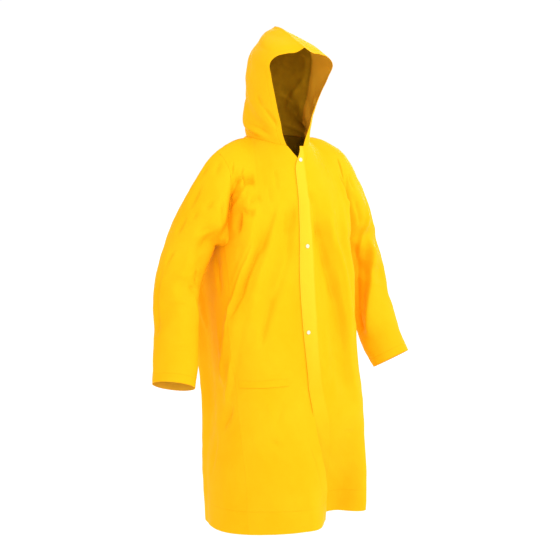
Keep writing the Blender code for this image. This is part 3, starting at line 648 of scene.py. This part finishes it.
# how finely the body is modelled, its hem and facing lines with their painted shade, and the painted light
# that falls in at the neck
bodyDetail = dict(
    step=0.0052, shell=0.0009, yoke=0.33, hemClose=(0.0011, 0.005), edgeClose=(0.0013, 0.010),
    hem=0.070, hemDark=0.22, facing=0.036, facingDark=0.333, facingDepth=0.0005,
    neckLit=0.22, neckLitFrom=0.90, neckLitReach=0.06,
)

# how the left front laps over the right one above lieFrom, and the heights of the right one's top edge
lap = dict(
    width=0.052, fade=0.12, step=0.0016, top=0.1, lieFrom=-0.66, lieReach=0.12, tipDrift=0.060, tipStart=0.70,
    rightTops=(0.74, 0.81, 0.90, 1.0),
)


def bodyPlaces(low, high, length, lines, close):
    return spacedPlaces(low, high, bodyDetail["step"] / length, lines, *(size / length for size in close))


def bodyRows():
    low = coat["underarmZ"] - coat["hemZ"]
    below = bodyPlaces(-1, 0, low, [bodyDetail["hem"] / low - 1], bodyDetail["hemClose"])
    above = bodyPlaces(0, 1, bodyDetail["yoke"], [1], bodyDetail["edgeClose"])
    return np.concatenate([below, above[1:]])


# u of a front's columns: the lap, the panel, and the band beside the side seam
def frontColumns():
    lines = [-lap["width"], lap["width"], 1]
    return bodyPlaces(-lap["width"], 1, coat["quarter"], lines, bodyDetail["edgeClose"])


def frontPlaces(side, u, v):
    width = lap["width"]
    edge = columnValue(leftEdge if side > 0 else rightEdge, "v", "u", v)
    share = smoothStep((u - width) / (1 - width))
    place = u + (edge + width) * (1 - share) + (seamPlace(side, v) - 1) * share
    if side > 0:
        drift = smoothStep((v - lap["tipStart"]) / (1 - lap["tipStart"]))
        place += lap["tipDrift"] * (width - np.minimum(u, width)) / (2 * width) * drift
    else:
        top = np.interp(u, [-width, 0, width, coat["rightHood"]], lap["rightTops"])
        v = np.where(v > 0, v * top, v)
    return place, v


# share of a front's columns that belongs to the lap
def lapShare(u):
    return 1 - smoothStep((u - lap["width"]) / lap["fade"])


def rightGrid(u, v):
    def form(u, v):
        return softBody(-1, False, u, v)

    return foldedForm(rightHemFold, form, -u, v, flip=-1)


def leftGrid(u, v):
    def form(u, v):
        own = softBody(1, False, u, v)
        lying = lapShare(u) * smoothStep((v - lap["lieFrom"]) / lap["lieReach"])
        return own + (softBody(-1, False, -u, v) - own) * lying[:, None]

    over = lap["step"] * lapShare(u) * smoothStep((1 - v) / lap["top"])
    return foldedForm(leftHemFold, form, u, v, over=over)


def frontGrid(side):
    u, v = frontPlaces(side, *np.meshgrid(frontColumns(), bodyRows()))
    return leftGrid(u, v) if side > 0 else rightGrid(u[:, ::-1], v[:, ::-1])


# seams, hem and facing lines pressed into a front or the back, with the painted shade along them
def bodyReliefs(grid, edges):
    detail = bodyDetail
    line, pressed = pressedLine(fromEdge(grid, 0, False), detail["hem"], detail["hemDark"])
    relief = sheetWaves(grid) + line
    for last, kind in edges:
        away = fromEdge(grid, 1, last)
        if kind == "facing":
            line, shade = pressedLine(away, detail["facing"], detail["facingDark"], detail["facingDepth"])
        else:
            line, shade = seamPucker(away, grid[..., 2]), weldShade(away)
        if kind == "seam":
            line = line + weldBand(away)
        relief, pressed = relief + line, pressed + shade
    return relief, pressed


def makeFronts():
    sides = (-1, "frontRight", "front_right", 1), (1, "frontLeft", "front_left", 2)
    for side, name, node, seed in sides:
        grid = frontGrid(side)
        relief, pressed = bodyReliefs(grid, [(side > 0, "seam"), (side < 0, "facing")])
        finishSheet(name, node, grid, relief, bodyDetail["shell"], seed, pressed=pressed)


def makeBack():
    detail = bodyDetail
    u, v = np.meshgrid(bodyPlaces(0, 1, coat["quarter"], [1], detail["edgeClose"]), bodyRows())
    left, right = 2 - u * (2 - seamPlace(1, v)), 2 + u * (2 - seamPlace(-1, v))
    a = np.concatenate([left[:, ::-1], right[:, 1:]], axis=1)
    v = np.concatenate([v, v[:, 1:]], axis=1)
    grid = foldedForm([], backPoint, a, v)
    relief, pressed = bodyReliefs(grid, [(False, "pucker"), (True, "pucker")])
    lit = detail["neckLit"] * smoothStep((v - detail["neckLitFrom"]) / detail["neckLitReach"])
    finishSheet("backPanel", "back", grid, relief, detail["shell"], 3, pressed=pressed, lit=lit)


makeFronts()
makeBack()
print("fronts and back made")

# sleeves: spine from armhole to cuff as if both were left ones, half widths across and front to back
leftArm = rowsOf("run x y z across deep", [
    (0.00, 0.213,  0.000, -0.180, 0.100, 0.090),
    (0.30, 0.293,  0.042, -0.290, 0.076, 0.076),
    (0.52, 0.345,  0.044, -0.430, 0.069, 0.067),
    (0.76, 0.372,  0.020, -0.575, 0.070, 0.063),
    (0.88, 0.386,  0.000, -0.645, 0.068, 0.060),
    (1.00, 0.403, -0.030, -0.708, 0.065, 0.056),
])
rightArm = rowsOf("run x y z across deep", [
    (0.00, 0.213, 0.000, -0.180, 0.100, 0.090),
    (0.30, 0.293, 0.042, -0.290, 0.076, 0.076),
    (0.52, 0.347, 0.047, -0.430, 0.068, 0.068),
    (0.76, 0.366, 0.024, -0.575, 0.068, 0.064),
    (0.88, 0.381, 0.004, -0.648, 0.069, 0.061),
    (1.00, 0.400, -0.016, -0.713, 0.066, 0.056),
])
capLeaves = rowsOf("height x z", [(0.0, 0.030, -0.040), (0.5, 0.044, -0.045), (1.0, 0.062, -0.032)])
sleeveDetail = dict(
    capRun=0.30, round=0.44, length=0.60, widest=0.50, spine=0.62, step=0.0045, shell=0.0009, creases=1.6,
    seamClose=(0.0024, 0.016), cuffClose=(0.0019, 0.009), cuffHem=0.025, cuffDark=0.22, seamDark=0.5,
    litReach=0.12, foldFade=0.12, creaseFade=0.03, waveFade=0.01, puckerFade=0.004,
)

# how the cap leaves the armhole: it bulges at the front, is level near the shoulder and held back low down
capShape = dict(
    bulge=0.050, bulgeFrom=0.11, bulgeRise=0.12, bulgeTo=0.42, bulgeFall=0.18, level=0.62, levelRise=0.30,
    levelOut=0.065, inside=0.97, saddle=0.40, leaveLess=0.65, arriveLess=0.80,
)

# folds of a sleeve: a is the turn round it (0 underarm, 0.25 front, 0.5 outside), z the run down it
sleeveFolds = foldRows([
    (0.14, 0.15, 0.44, 0.27, 22, -11, 50), (0.06, 0.27, 0.36, 0.34, 20, -10, 40),
    (0.6, 0.2, 0.9, 0.31, 22, -11, 50), (0.34, 0.36, 0.6, 0.46, 22, -8, 50),
])
rightArmFold = foldRows([
    (0.06, 0.03, 0.12, 0.22, 34, -12, 80), (1.06, 0.03, 1.12, 0.22, 34, -12, 80),
    (0.2, 0.08, 0.18, 0.31, 36, -22, 90),
])
rightSleeveCreases = foldRows([
    (0.44, 0.005, 0.415, 0.05, 5, -3.4, 20, 2), (0.485, 0.036, 0.478, 0.074, 5, -3.6, 18, 2),
    (0.456, 0.07, 0.44, 0.136, 6, -4.8, 30, 4, 0.4), (0.35, 0.07, 0.366, 0.112, 5, -4, 18, 6),
    (0.32, 0.062, 0.35, 0.074, 5, -3, 14, 3), (0.386, 0.118, 0.397, 0.146, 5, -3.6, 14, 3),
    (0.436, 0.14, 0.456, 0.2, 6, -5, 28, 4, 0.4), (0.42, 0.225, 0.452, 0.28, 6, -4.6, 26, -4),
    (0.33, 0.05, 0.2, 0.075, 10, -6, 35, 6), (0.26, 0.12, 0.36, 0.17, 10, -4, 40, 8),
    (0.47, 0.318, 0.26, 0.3, 10, -3.4, 40, 10), (0.456, 0.362, 0.22, 0.358, 9, -3, 45, -8),
    (0.415, 0.506, 0.175, 0.5, 9, -2.6, 45, 8), (0.23, 0.255, 0.13, 0.3, 8, -6, 30, 4),
    (0.26, 0.305, 0.14, 0.312, 7, -5.6, 30, -4), (0.2, 0.33, 0.12, 0.44, 10, 3.2, 50, 5),
    (0.48, 0.262, 0.5, 0.48, 6, -3, 60, 3, 0.5), (0.56, 0.04, 0.62, 0.16, 8, -4.5, 45, 5),
    (0.68, 0.06, 0.74, 0.18, 8, -5, 45, -6), (0.82, 0.09, 0.7, 0.21, 9, -5.2, 45, 8),
    (0.9, 0.2, 0.72, 0.27, 9, -5, 50, 6, -0.3), (0.88, 0.3, 0.66, 0.29, 9, -4.6, 50, -8),
    (0.64, 0.35, 0.86, 0.37, 9, -3.6, 50, 8), (0.6, 0.44, 0.82, 0.48, 9, -3.2, 50, -6),
    (0.96, 0.33, 1.02, 0.52, 9, -3.6, 60, 5),
])
leftSleeveCreases = foldRows([
    (0.36, 0.006, 0.29, 0.03, 5, -4.8, 14, 2, 0.4), (0.29, 0.19, 0.06, 0.52, 16, 13, 60, 2, 0.5),
    (0.175, 0.19, -0.05, 0.52, 24, -13, 60, 2, 0.2), (0.26, 0.01, 0.205, 0.13, 9, -6, 40, 4),
    (0.33, 0.09, 0.13, 0.27, 10, 5.5, 50, 4, 0.4), (0.33, 0.08, 0.41, 0.2, 8, -4.2, 45, 5),
    (0.42, 0.04, 0.46, 0.13, 7, -4, 35, -4), (0.44, 0.16, 0.5, 0.27, 8, -4.4, 45, 5),
    (0.52, 0.06, 0.58, 0.18, 8, -4.2, 45, 5), (0.64, 0.08, 0.76, 0.19, 9, -5, 50, -6),
    (0.8, 0.11, 0.68, 0.23, 9, -4.8, 50, 6), (0.9, 0.21, 0.7, 0.29, 9, -5.2, 50, 6, -0.3),
    (0.86, 0.32, 0.64, 0.31, 9, -4.2, 50, -8), (0.6, 0.38, 0.84, 0.4, 9, -3.4, 50, 8),
    (0.38, 0.35, 0.62, 0.37, 9, -3.2, 50, 6), (0.42, 0.47, 0.64, 0.49, 9, -2.8, 50, -6),
    (0.96, 0.34, 1.02, 0.52, 9, -3.6, 60, 5),
])


# a line up the body at one u: underarm (turn 0), front, shoulder (turn 0.5) and back
def armLine(side, turn, u):
    u = np.full_like(turn, u)
    front = bodyForm(side, False, u, np.clip(turn * 2, 0, 1))
    back = bodyForm(side, True, u, np.clip(2 - turn * 2, 0, 1))
    return np.where((turn <= 0.5)[:, None], front, back)


def armCentre(spine, run):
    return pointsOf(*(columnValue(spine, "run", axis, run) for axis in "xyz"))


def armRing(side, turn, run):
    spine, step = rightArm if side < 0 else leftArm, 0.01
    along = unitOf(armCentre(spine, run + step) - armCentre(spine, run - step))
    ahead = unitOf(np.array([0, -1, 0]) + along * along[:, 1:2])
    across, deep = (columnValue(spine, "run", name, run)[:, None] for name in ("across", "deep"))
    angle = turn[:, None] * math.tau
    inward = np.cross(ahead, along) * across * np.cos(angle)
    return (armCentre(spine, run) - inward + ahead * deep * np.sin(angle)) * [side, 1, 1]


def sleevePoint(side, turn, run):
    shape, capRun = capShape, sleeveDetail["capRun"]
    start = armLine(side, turn, 1)
    height = (start[:, 2] - coat["underarmZ"]) / (coat["shoulderTip"][2] - coat["underarmZ"])
    bulge = smoothStep((turn - shape["bulgeFrom"]) / shape["bulgeRise"])
    bulge = bulge * smoothStep((shape["bulgeTo"] - turn) / shape["bulgeFall"])
    leave = pointsOf(
        side * columnValue(capLeaves, "height", "x", height), -shape["bulge"] * bulge,
        columnValue(capLeaves, "height", "z", height),
    )
    level = smoothStep((height - shape["level"]) / shape["levelRise"])[:, None]
    outward = unitOf(start - armLine(side, turn, shape["inside"]))
    leave = leave * (1 - level) + outward * shape["levelOut"] * level
    capEnd, step = np.full_like(turn, capRun), 0.02
    end = armRing(side, turn, capEnd)
    arrive = (armRing(side, turn, capEnd + step) - end) / step * capRun / 3
    low = (1 - smoothStep(height / shape["saddle"]))[:, None]
    leave, arrive = leave * (1 - shape["leaveLess"] * low), arrive * (1 - shape["arriveLess"] * low)
    cap = cubicLine(start, start + leave, end - arrive, end, np.clip(run / capRun, 0, 1))
    return np.where((run < capRun)[:, None], cap, armRing(side, turn, np.maximum(run, capRun)))


def sleeveGrid(side):
    def form(turn, run):
        return sleevePoint(side, turn % 1, run)

    detail = sleeveDetail
    turn = np.linspace(0, 1, round(detail["widest"] / detail["step"]) + 1)
    cap = spacedPlaces(0, detail["capRun"], detail["step"] / detail["widest"], [0], *detail["seamClose"])
    cuff = 1 - detail["cuffHem"] / detail["spine"]
    arm = spacedPlaces(detail["capRun"], 1, detail["step"] / detail["spine"], [cuff], *detail["cuffClose"])
    turns, runs = np.meshgrid(turn, np.concatenate([cap, arm[1:]]))
    down = runs * detail["length"]
    height = heightAround(foldHeight, sleeveFolds, turns, down, detail["round"], 1)
    if side < 0:
        height += foldHeight(rightArmFold, turns, down, detail["round"])
    creases = rightSleeveCreases if side < 0 else leftSleeveCreases
    fine = heightAround(creaseHeight, creases, turns, down, detail["round"], 1)
    height *= smoothStep(runs / detail["foldFade"])
    height += detail["creases"] * fine * smoothStep(runs / detail["creaseFade"])
    grid = raisedForm(form, turns, runs, height, -side)
    return grid[:, ::-1] if side > 0 else grid


def makeSleeves():
    detail = sleeveDetail
    sides = (-1, "sleeveRight", "sleeve_right", 4), (1, "sleeveLeft", "sleeve_left", 5)
    for side, name, node, seed in sides:
        grid = sleeveGrid(side)
        fromSeam, fromCuff = fromEdge(grid, 0, False), fromEdge(grid, 0, True)
        # painted shade along the cuff line and the seam, and painted light on the inner face towards the cuff
        relief, pressed = pressedLine(fromCuff, detail["cuffHem"], detail["cuffDark"])
        relief += sheetWaves(grid) * smoothStep(fromSeam / detail["waveFade"])
        relief += seamPucker(fromSeam, grid[..., 2]) * smoothStep(fromSeam / detail["puckerFade"])
        pressed += detail["seamDark"] * weldShade(fromSeam)
        lit = smoothStep(1 - fromCuff / detail["litReach"])
        finishSheet(name, node, grid, relief, detail["shell"], seed, ring=True, pressed=pressed, lit=lit)


makeSleeves()
print("sleeves made")

# one half of the hood, from the neck up: face edge, centre back seam and the bulge between them
hoodLevels = rowsOf("rise faceX faceLean faceY faceZ backY backZ sideX rearX rear", [
    (0.00, 0.026, 0.000, -0.077, -0.020, 0.124, 0.012, 0.110, 0.084, 1.00),
    (0.15, 0.047, 0.004, -0.073,  0.026, 0.133, 0.060, 0.128, 0.106, 1.00),
    (0.30, 0.062, 0.007, -0.076,  0.072, 0.131, 0.115, 0.138, 0.106, 1.00),
    (0.45, 0.081, 0.007, -0.084,  0.125, 0.123, 0.170, 0.144, 0.103, 1.00),
    (0.60, 0.104, 0.003, -0.092,  0.183, 0.113, 0.225, 0.145, 0.101, 1.00),
    (0.72, 0.115, 0.000, -0.096,  0.218, 0.099, 0.268, 0.141, 0.095, 1.00),
    (0.84, 0.090, 0.000, -0.101,  0.243, 0.077, 0.306, 0.117, 0.082, 0.96),
    (0.94, 0.044, 0.000, -0.108,  0.254, 0.056, 0.336, 0.093, 0.066, 0.84),
    (1.00, 0.000, 0.000, -0.110,  0.269, 0.042, 0.347, 0.000, 0.000, 0.64),
])
hoodDetail = dict(
    round=0.30, tall=0.34, step=0.0042, shell=0.0009, brimAt=0.058, sideClose=(0.004, 0.020),
    neckClose=(0.0036, 0.028), brim=0.018, brimDark=0.15, waves=0.0005, waveFade=0.01,
    creases=1.4, foldFades=(0.10, 0.15, 0.15), creaseFades=(0.02, 0.05, 0.04),
    litTo=0.44, litEdge=0.03, litFace=1.1, litFall=0.6,
)
hoodShape = dict(
    peakDrop=0.011, peakReach=0.050, browAt=0.962, browHalf=0.045, browDrop=0.005, browDeep=0.2, cheek=0.32,
    settle=0.24,
)
hoodFolds = foldRows([(0.12, 0.02, 0.72, 0.17, 18, -7, 50), (0.24, 0, 0.8, 0.09, 16, 3, 50)])
leftHoodCreases = foldRows([(0.45, 0.262, 0.415, 0.05, 10, 5, 40, 4), (0.45, 0.2, 0.68, 0.08, 14, -4, 30, 4)])
hoodCreases = foldRows([
    (0.26, 0.15, 0.16, 0.112, 6, -4, 20, 3), (0.175, 0.118, 0.045, 0.056, 6, -4.4, 22, -3),
    (0.12, 0.02, 0.56, 0.06, 8, -3.4, 45, 6), (0.3, 0.01, 0.8, 0.045, 8, -3.4, 45, -6),
    (0.52, 0.1, 0.88, 0.13, 9, -3.4, 45, 8), (0.35, 0.2, 0.62, 0.26, 10, -2.8, 45, 6),
    (0.7, 0.18, 0.9, 0.25, 9, -3, 45, -5),
])


def neckLine(side, s):
    start, neck = coat["rightHood"] if side < 0 else coat["leftHood"], coat["neckPlace"]
    front = topLine(side, False, start + (neck - start) * np.clip(s * 2, 0, 1))
    back = topLine(side, True, neck * np.clip(2 - s * 2, 0, 1))
    return np.where((s <= 0.5)[:, None], front, back)


def hoodPoint(side, s, rise):
    shape = hoodShape

    def row(at):
        value = rowAt(hoodLevels, "rise", at)
        third = (value["backZ"] - value["faceZ"]) / 3
        depth = value["backY"] - value["faceY"]
        return cubicLine(
            pointsOf(side * value["faceX"] - value["faceLean"], value["faceY"], value["faceZ"]),
            pointsOf(side * value["sideX"], value["faceY"] + depth * shape["cheek"], value["faceZ"] + third),
            pointsOf(side * value["rearX"], value["faceY"] + depth * value["rear"], value["backZ"] - third),
            pointsOf(0, value["backY"], value["backZ"]),
            s,
        )

    settle = (1 - smoothStep(rise / shape["settle"]))[:, None]
    place = row(rise) + settle * (neckLine(side, s) - row(np.zeros_like(rise)))
    peak = np.array([0, hoodLevels[-1]["backY"], hoodLevels[-1]["backZ"]])
    near = np.clip(1 - np.linalg.norm(place - peak, axis=1) / shape["peakReach"], 0, 1)
    brow = np.clip(1 - ((rise - shape["browAt"]) / shape["browHalf"]) ** 2, 0, 1) ** 2
    brow = brow * (1 - smoothStep(s / shape["browDeep"]))
    place[:, 2] -= shape["peakDrop"] * near**1.5 + shape["browDrop"] * brow
    return place


# the grid of one half and the light on its inside
def hoodGrid(side):
    detail = hoodDetail
    across = spacedPlaces(0, 1, detail["step"] / detail["round"], [detail["brimAt"], 1], *detail["sideClose"])
    up = spacedPlaces(0, 1, detail["step"] / detail["tall"], [0, 1], *detail["neckClose"])
    s, rise = np.meshgrid(across, up)

    def form(s, rise):
        return hoodPoint(side, s, rise)

    def fading(neck, crown, rear):
        return smoothStep(rise / neck) * smoothStep((1 - rise) / crown) * smoothStep((1 - s) / rear)

    tall = rise * detail["tall"]
    height = foldHeight(hoodFolds, s, tall, detail["round"]) * fading(*detail["foldFades"])
    fine = creaseHeight(hoodCreases + (leftHoodCreases if side > 0 else []), s, tall, detail["round"])
    height += detail["creases"] * fine * fading(*detail["creaseFades"])
    grid = raisedForm(form, s, rise, height, side)
    lit = smoothStep((detail["litTo"] - s) / detail["litEdge"]) * (detail["litFace"] - detail["litFall"] * s)
    return (grid, lit) if side > 0 else (grid[:, ::-1], lit[:, ::-1])


def makeHood():
    detail = hoodDetail
    sides = (-1, "hoodRight", "hood_right", 6), (1, "hoodLeft", "hood_left", 7)
    for side, name, node, seed in sides:
        grid, lit = hoodGrid(side)
        fromNeck = fromEdge(grid, 0, False)
        seam = np.minimum(fromEdge(grid, 1, side > 0), fromEdge(grid, 0, True))
        # painted shade along the brim line and the seams
        relief, pressed = pressedLine(fromEdge(grid, 1, side < 0), detail["brim"], detail["brimDark"])
        waves = sheetWaves(grid, detail["waves"]) * smoothStep(seam / detail["waveFade"])
        relief += waves * smoothStep(fromNeck / detail["waveFade"]) + weldBand(fromNeck, weld["neckWidth"])
        if side < 0:
            relief += weldBand(seam)
        pressed += weldShade(seam)
        finishSheet(name, node, grid, relief, detail["shell"], seed, pressed=pressed, lit=lit)


makeHood()
print("hood made")

# the band that lies along the left front's edge, with a pressed line near each side and painted shade along
# it, and a painted highlight that fades out towards the hem
band = dict(
    columns=33, thick=0.0006, clear=0.0005, line=0.0035, lineDeep=0.0004, lineHalf=0.0014, lineDark=0.25,
    paintedBandLight=0.50, fadeLow=-0.95, fadeHigh=-0.35, soft=0.012,
)


def gridAt(grid, rows, columns):
    rows, columns = np.meshgrid(rows, columns, indexing="ij")
    i = np.minimum(rows.astype(int), grid.shape[0] - 2)
    j = np.minimum(columns.astype(int), grid.shape[1] - 2)
    up, over = (rows - i)[..., None], (columns - j)[..., None]
    low = grid[i, j] * (1 - over) + grid[i, j + 1] * over
    high = grid[i + 1, j] * (1 - over) + grid[i + 1, j + 1] * over
    return low * (1 - up) + high * up


# where the band's columns lie among those of the left front
def bandPlaces():
    columns = frontColumns()
    last = np.interp(lap["width"], columns, np.arange(len(columns)))
    return np.linspace(0, last, band["columns"])


def makeBand():
    front = frontGrid(1)
    relief, _ = bodyReliefs(front, [(True, "seam")])
    front, normal = pressInto(front, relief)
    rows = np.arange(len(front))
    base = gridAt(front, rows, bandPlaces())
    out = unitOf(gridAt(normal, rows, bandPlaces()))
    fromInner = fromEdge(base, 1, True)
    near = np.minimum(fromEdge(base, 1, False), fromInner)
    # pressed lines near each side, with painted shade along them
    line, pressed = pressedLine(near, band["line"], band["lineDark"], band["lineDeep"], band["lineHalf"])
    outer = base + out * (band["clear"] + band["thick"] + line[..., None])
    # painted highlight: the band lighter where it faces the light, fading out towards the hem and at its
    # inner edge
    above = smoothStep((base[..., 2] - band["fadeLow"]) / (band["fadeHigh"] - band["fadeLow"]))
    paintedBandLight = band["paintedBandLight"] * above * smoothStep(fromInner / band["soft"])
    fasten(makeSheet("placketBand", outer, band["thick"], 8, pressed, paintedBandLight), "placket")
    return outer, out


bandFace, bandOut = makeBand()

# the welt of the right pocket, its lower edge open
welt = dict(
    low=-0.727, high=-0.706, start=0.15, end=0.95, rows=12, columns=70, thick=0.0004, clear=0.0002,
    lift=0.0012,
)


def makeWelt():
    z = np.linspace(welt["low"], welt["high"], welt["rows"])
    v = (z - coat["underarmZ"]) / (coat["underarmZ"] - coat["hemZ"])
    u = np.linspace(welt["end"], welt["start"], welt["columns"])
    grid = rightGrid(*frontPlaces(-1, *np.meshgrid(u, v)))
    grid = grid + gridNormals(grid) * sheetWaves(grid)[..., None]
    down = np.linspace(1, 0, welt["rows"])[:, None, None]
    outer = grid + gridNormals(grid) * (welt["clear"] + welt["thick"] + welt["lift"] * down**2)
    fasten(makeSheet("pocketRight", outer, welt["thick"], 9), "pocket_right")


makeWelt()
print("band and pocket made")

# press studs: their places on the band, and the profile that is spun round
studDetail = dict(lift=0.0004, turns=48)
studs = rowsOf("u v", [(-0.002, 0.825), (-0.014, -0.007), (-0.020, -0.307)])
studProfile = rowsOf("radius height", [
    (0.0000, 0.00125), (0.0016, 0.00128), (0.0030, 0.00140), (0.0038, 0.00165), (0.0045, 0.00180),
    (0.0052, 0.00170), (0.0058, 0.00125), (0.0060, 0.00070), (0.0060, 0.00020), (0.0056, 0.00000),
])


def makeStud(name, node, base, out):
    shape = bmesh.new()
    line = [shape.verts.new((row["radius"], 0, row["height"])) for row in studProfile]
    edges = [shape.edges.new(pair) for pair in zip(line, line[1:])]
    bmesh.ops.spin(
        shape, geom=line + edges, cent=(0, 0, 0), axis=(0, 0, 1), steps=studDetail["turns"], angle=math.tau,
        use_merge=True,
    )
    bmesh.ops.remove_doubles(shape, verts=shape.verts, dist=1e-6)
    rim = [edge for edge in shape.edges if edge.is_boundary]
    bmesh.ops.holes_fill(shape, edges=rim, sides=0)
    bmesh.ops.recalc_face_normals(shape, faces=shape.faces)
    turn = Vector((0, 0, 1)).rotation_difference(Vector(out)).to_matrix().to_4x4()
    bmesh.ops.transform(shape, matrix=Matrix.Translation(Vector(base)) @ turn, verts=shape.verts)
    piece = addPiece(name, shape, ivoryMaterial(name + "Ivory"))
    piece.data.shade_smooth()
    fasten(piece, node)


def makeStuds():
    v, columns = bodyRows(), frontColumns()
    u = np.interp(bandPlaces(), np.arange(len(columns)), columns)
    for number, stud in enumerate(studs, start=1):
        row = np.interp(stud["v"], v, np.arange(len(v)))
        edge, _ = frontPlaces(1, u, np.full_like(u, stud["v"]))
        column = np.interp(stud["u"], edge, np.arange(band["columns"]))
        out = unitOf(gridAt(bandOut, [row], [column]))[0, 0]
        base = gridAt(bandFace, [row], [column])[0, 0] + out * studDetail["lift"]
        makeStud(f"snap{number}", f"snap_{number}", base, out)


makeStuds()
print("snaps made")

# floor and lights of the studio
studio = dict(
    floorZ=-1.45, floorTone=(0.99, 0.99, 0.99, 1), floorSize=20, sky=1.03, key=11.9, keySize=1.1,
    keyPlace=(-0.10, -1.60, 0.78), keyAim=(0, 0, -0.2),
)
suns = rowsOf("name strength angle towards", [
    ("sideLight", 0.75, 0.9, (1.0, -0.45, 0.40)),
    ("fillLight", 1.10, 0.9, (0.85, 1.0, 0.50)),
])


def makeStage():
    shape = bmesh.new()
    bmesh.ops.create_grid(shape, x_segments=1, y_segments=1, size=studio["floorSize"])
    bmesh.ops.translate(shape, vec=(0, 0, studio["floorZ"]), verts=shape.verts)
    paint, _, shader = startMaterial("floorPaint")
    shader.inputs["Base Color"].default_value = studio["floorTone"]
    shader.inputs["Roughness"].default_value = 0.9
    addPiece("floor", shape, paint)


def addLamp(light, direction):
    lamp = bpy.data.objects.new(light.name, light)
    lamp.rotation_euler = Vector(direction).to_track_quat("-Z", "Y").to_euler()
    scene.collection.objects.link(lamp)
    return lamp


def makeLight():
    scene.world = bpy.data.worlds.new("studio")
    scene.world.use_nodes = True
    sky = scene.world.node_tree.nodes["Background"]
    sky.inputs["Color"].default_value = (1, 1, 1, 1)
    sky.inputs["Strength"].default_value = studio["sky"]
    key = bpy.data.lights.new("keyLight", "AREA")
    key.shape, key.size, key.energy = "DISK", studio["keySize"], studio["key"]
    lamp = addLamp(key, Vector(studio["keyAim"]) - Vector(studio["keyPlace"]))
    lamp.location = studio["keyPlace"]
    lamp.visible_camera = False
    for sun in suns:
        light = bpy.data.lights.new(sun["name"], "SUN")
        light.energy, light.angle = sun["strength"], sun["angle"]
        addLamp(light, -Vector(sun["towards"]))


makeStage()
makeLight()
scene.view_settings.view_transform = "Standard"
print("studio made")
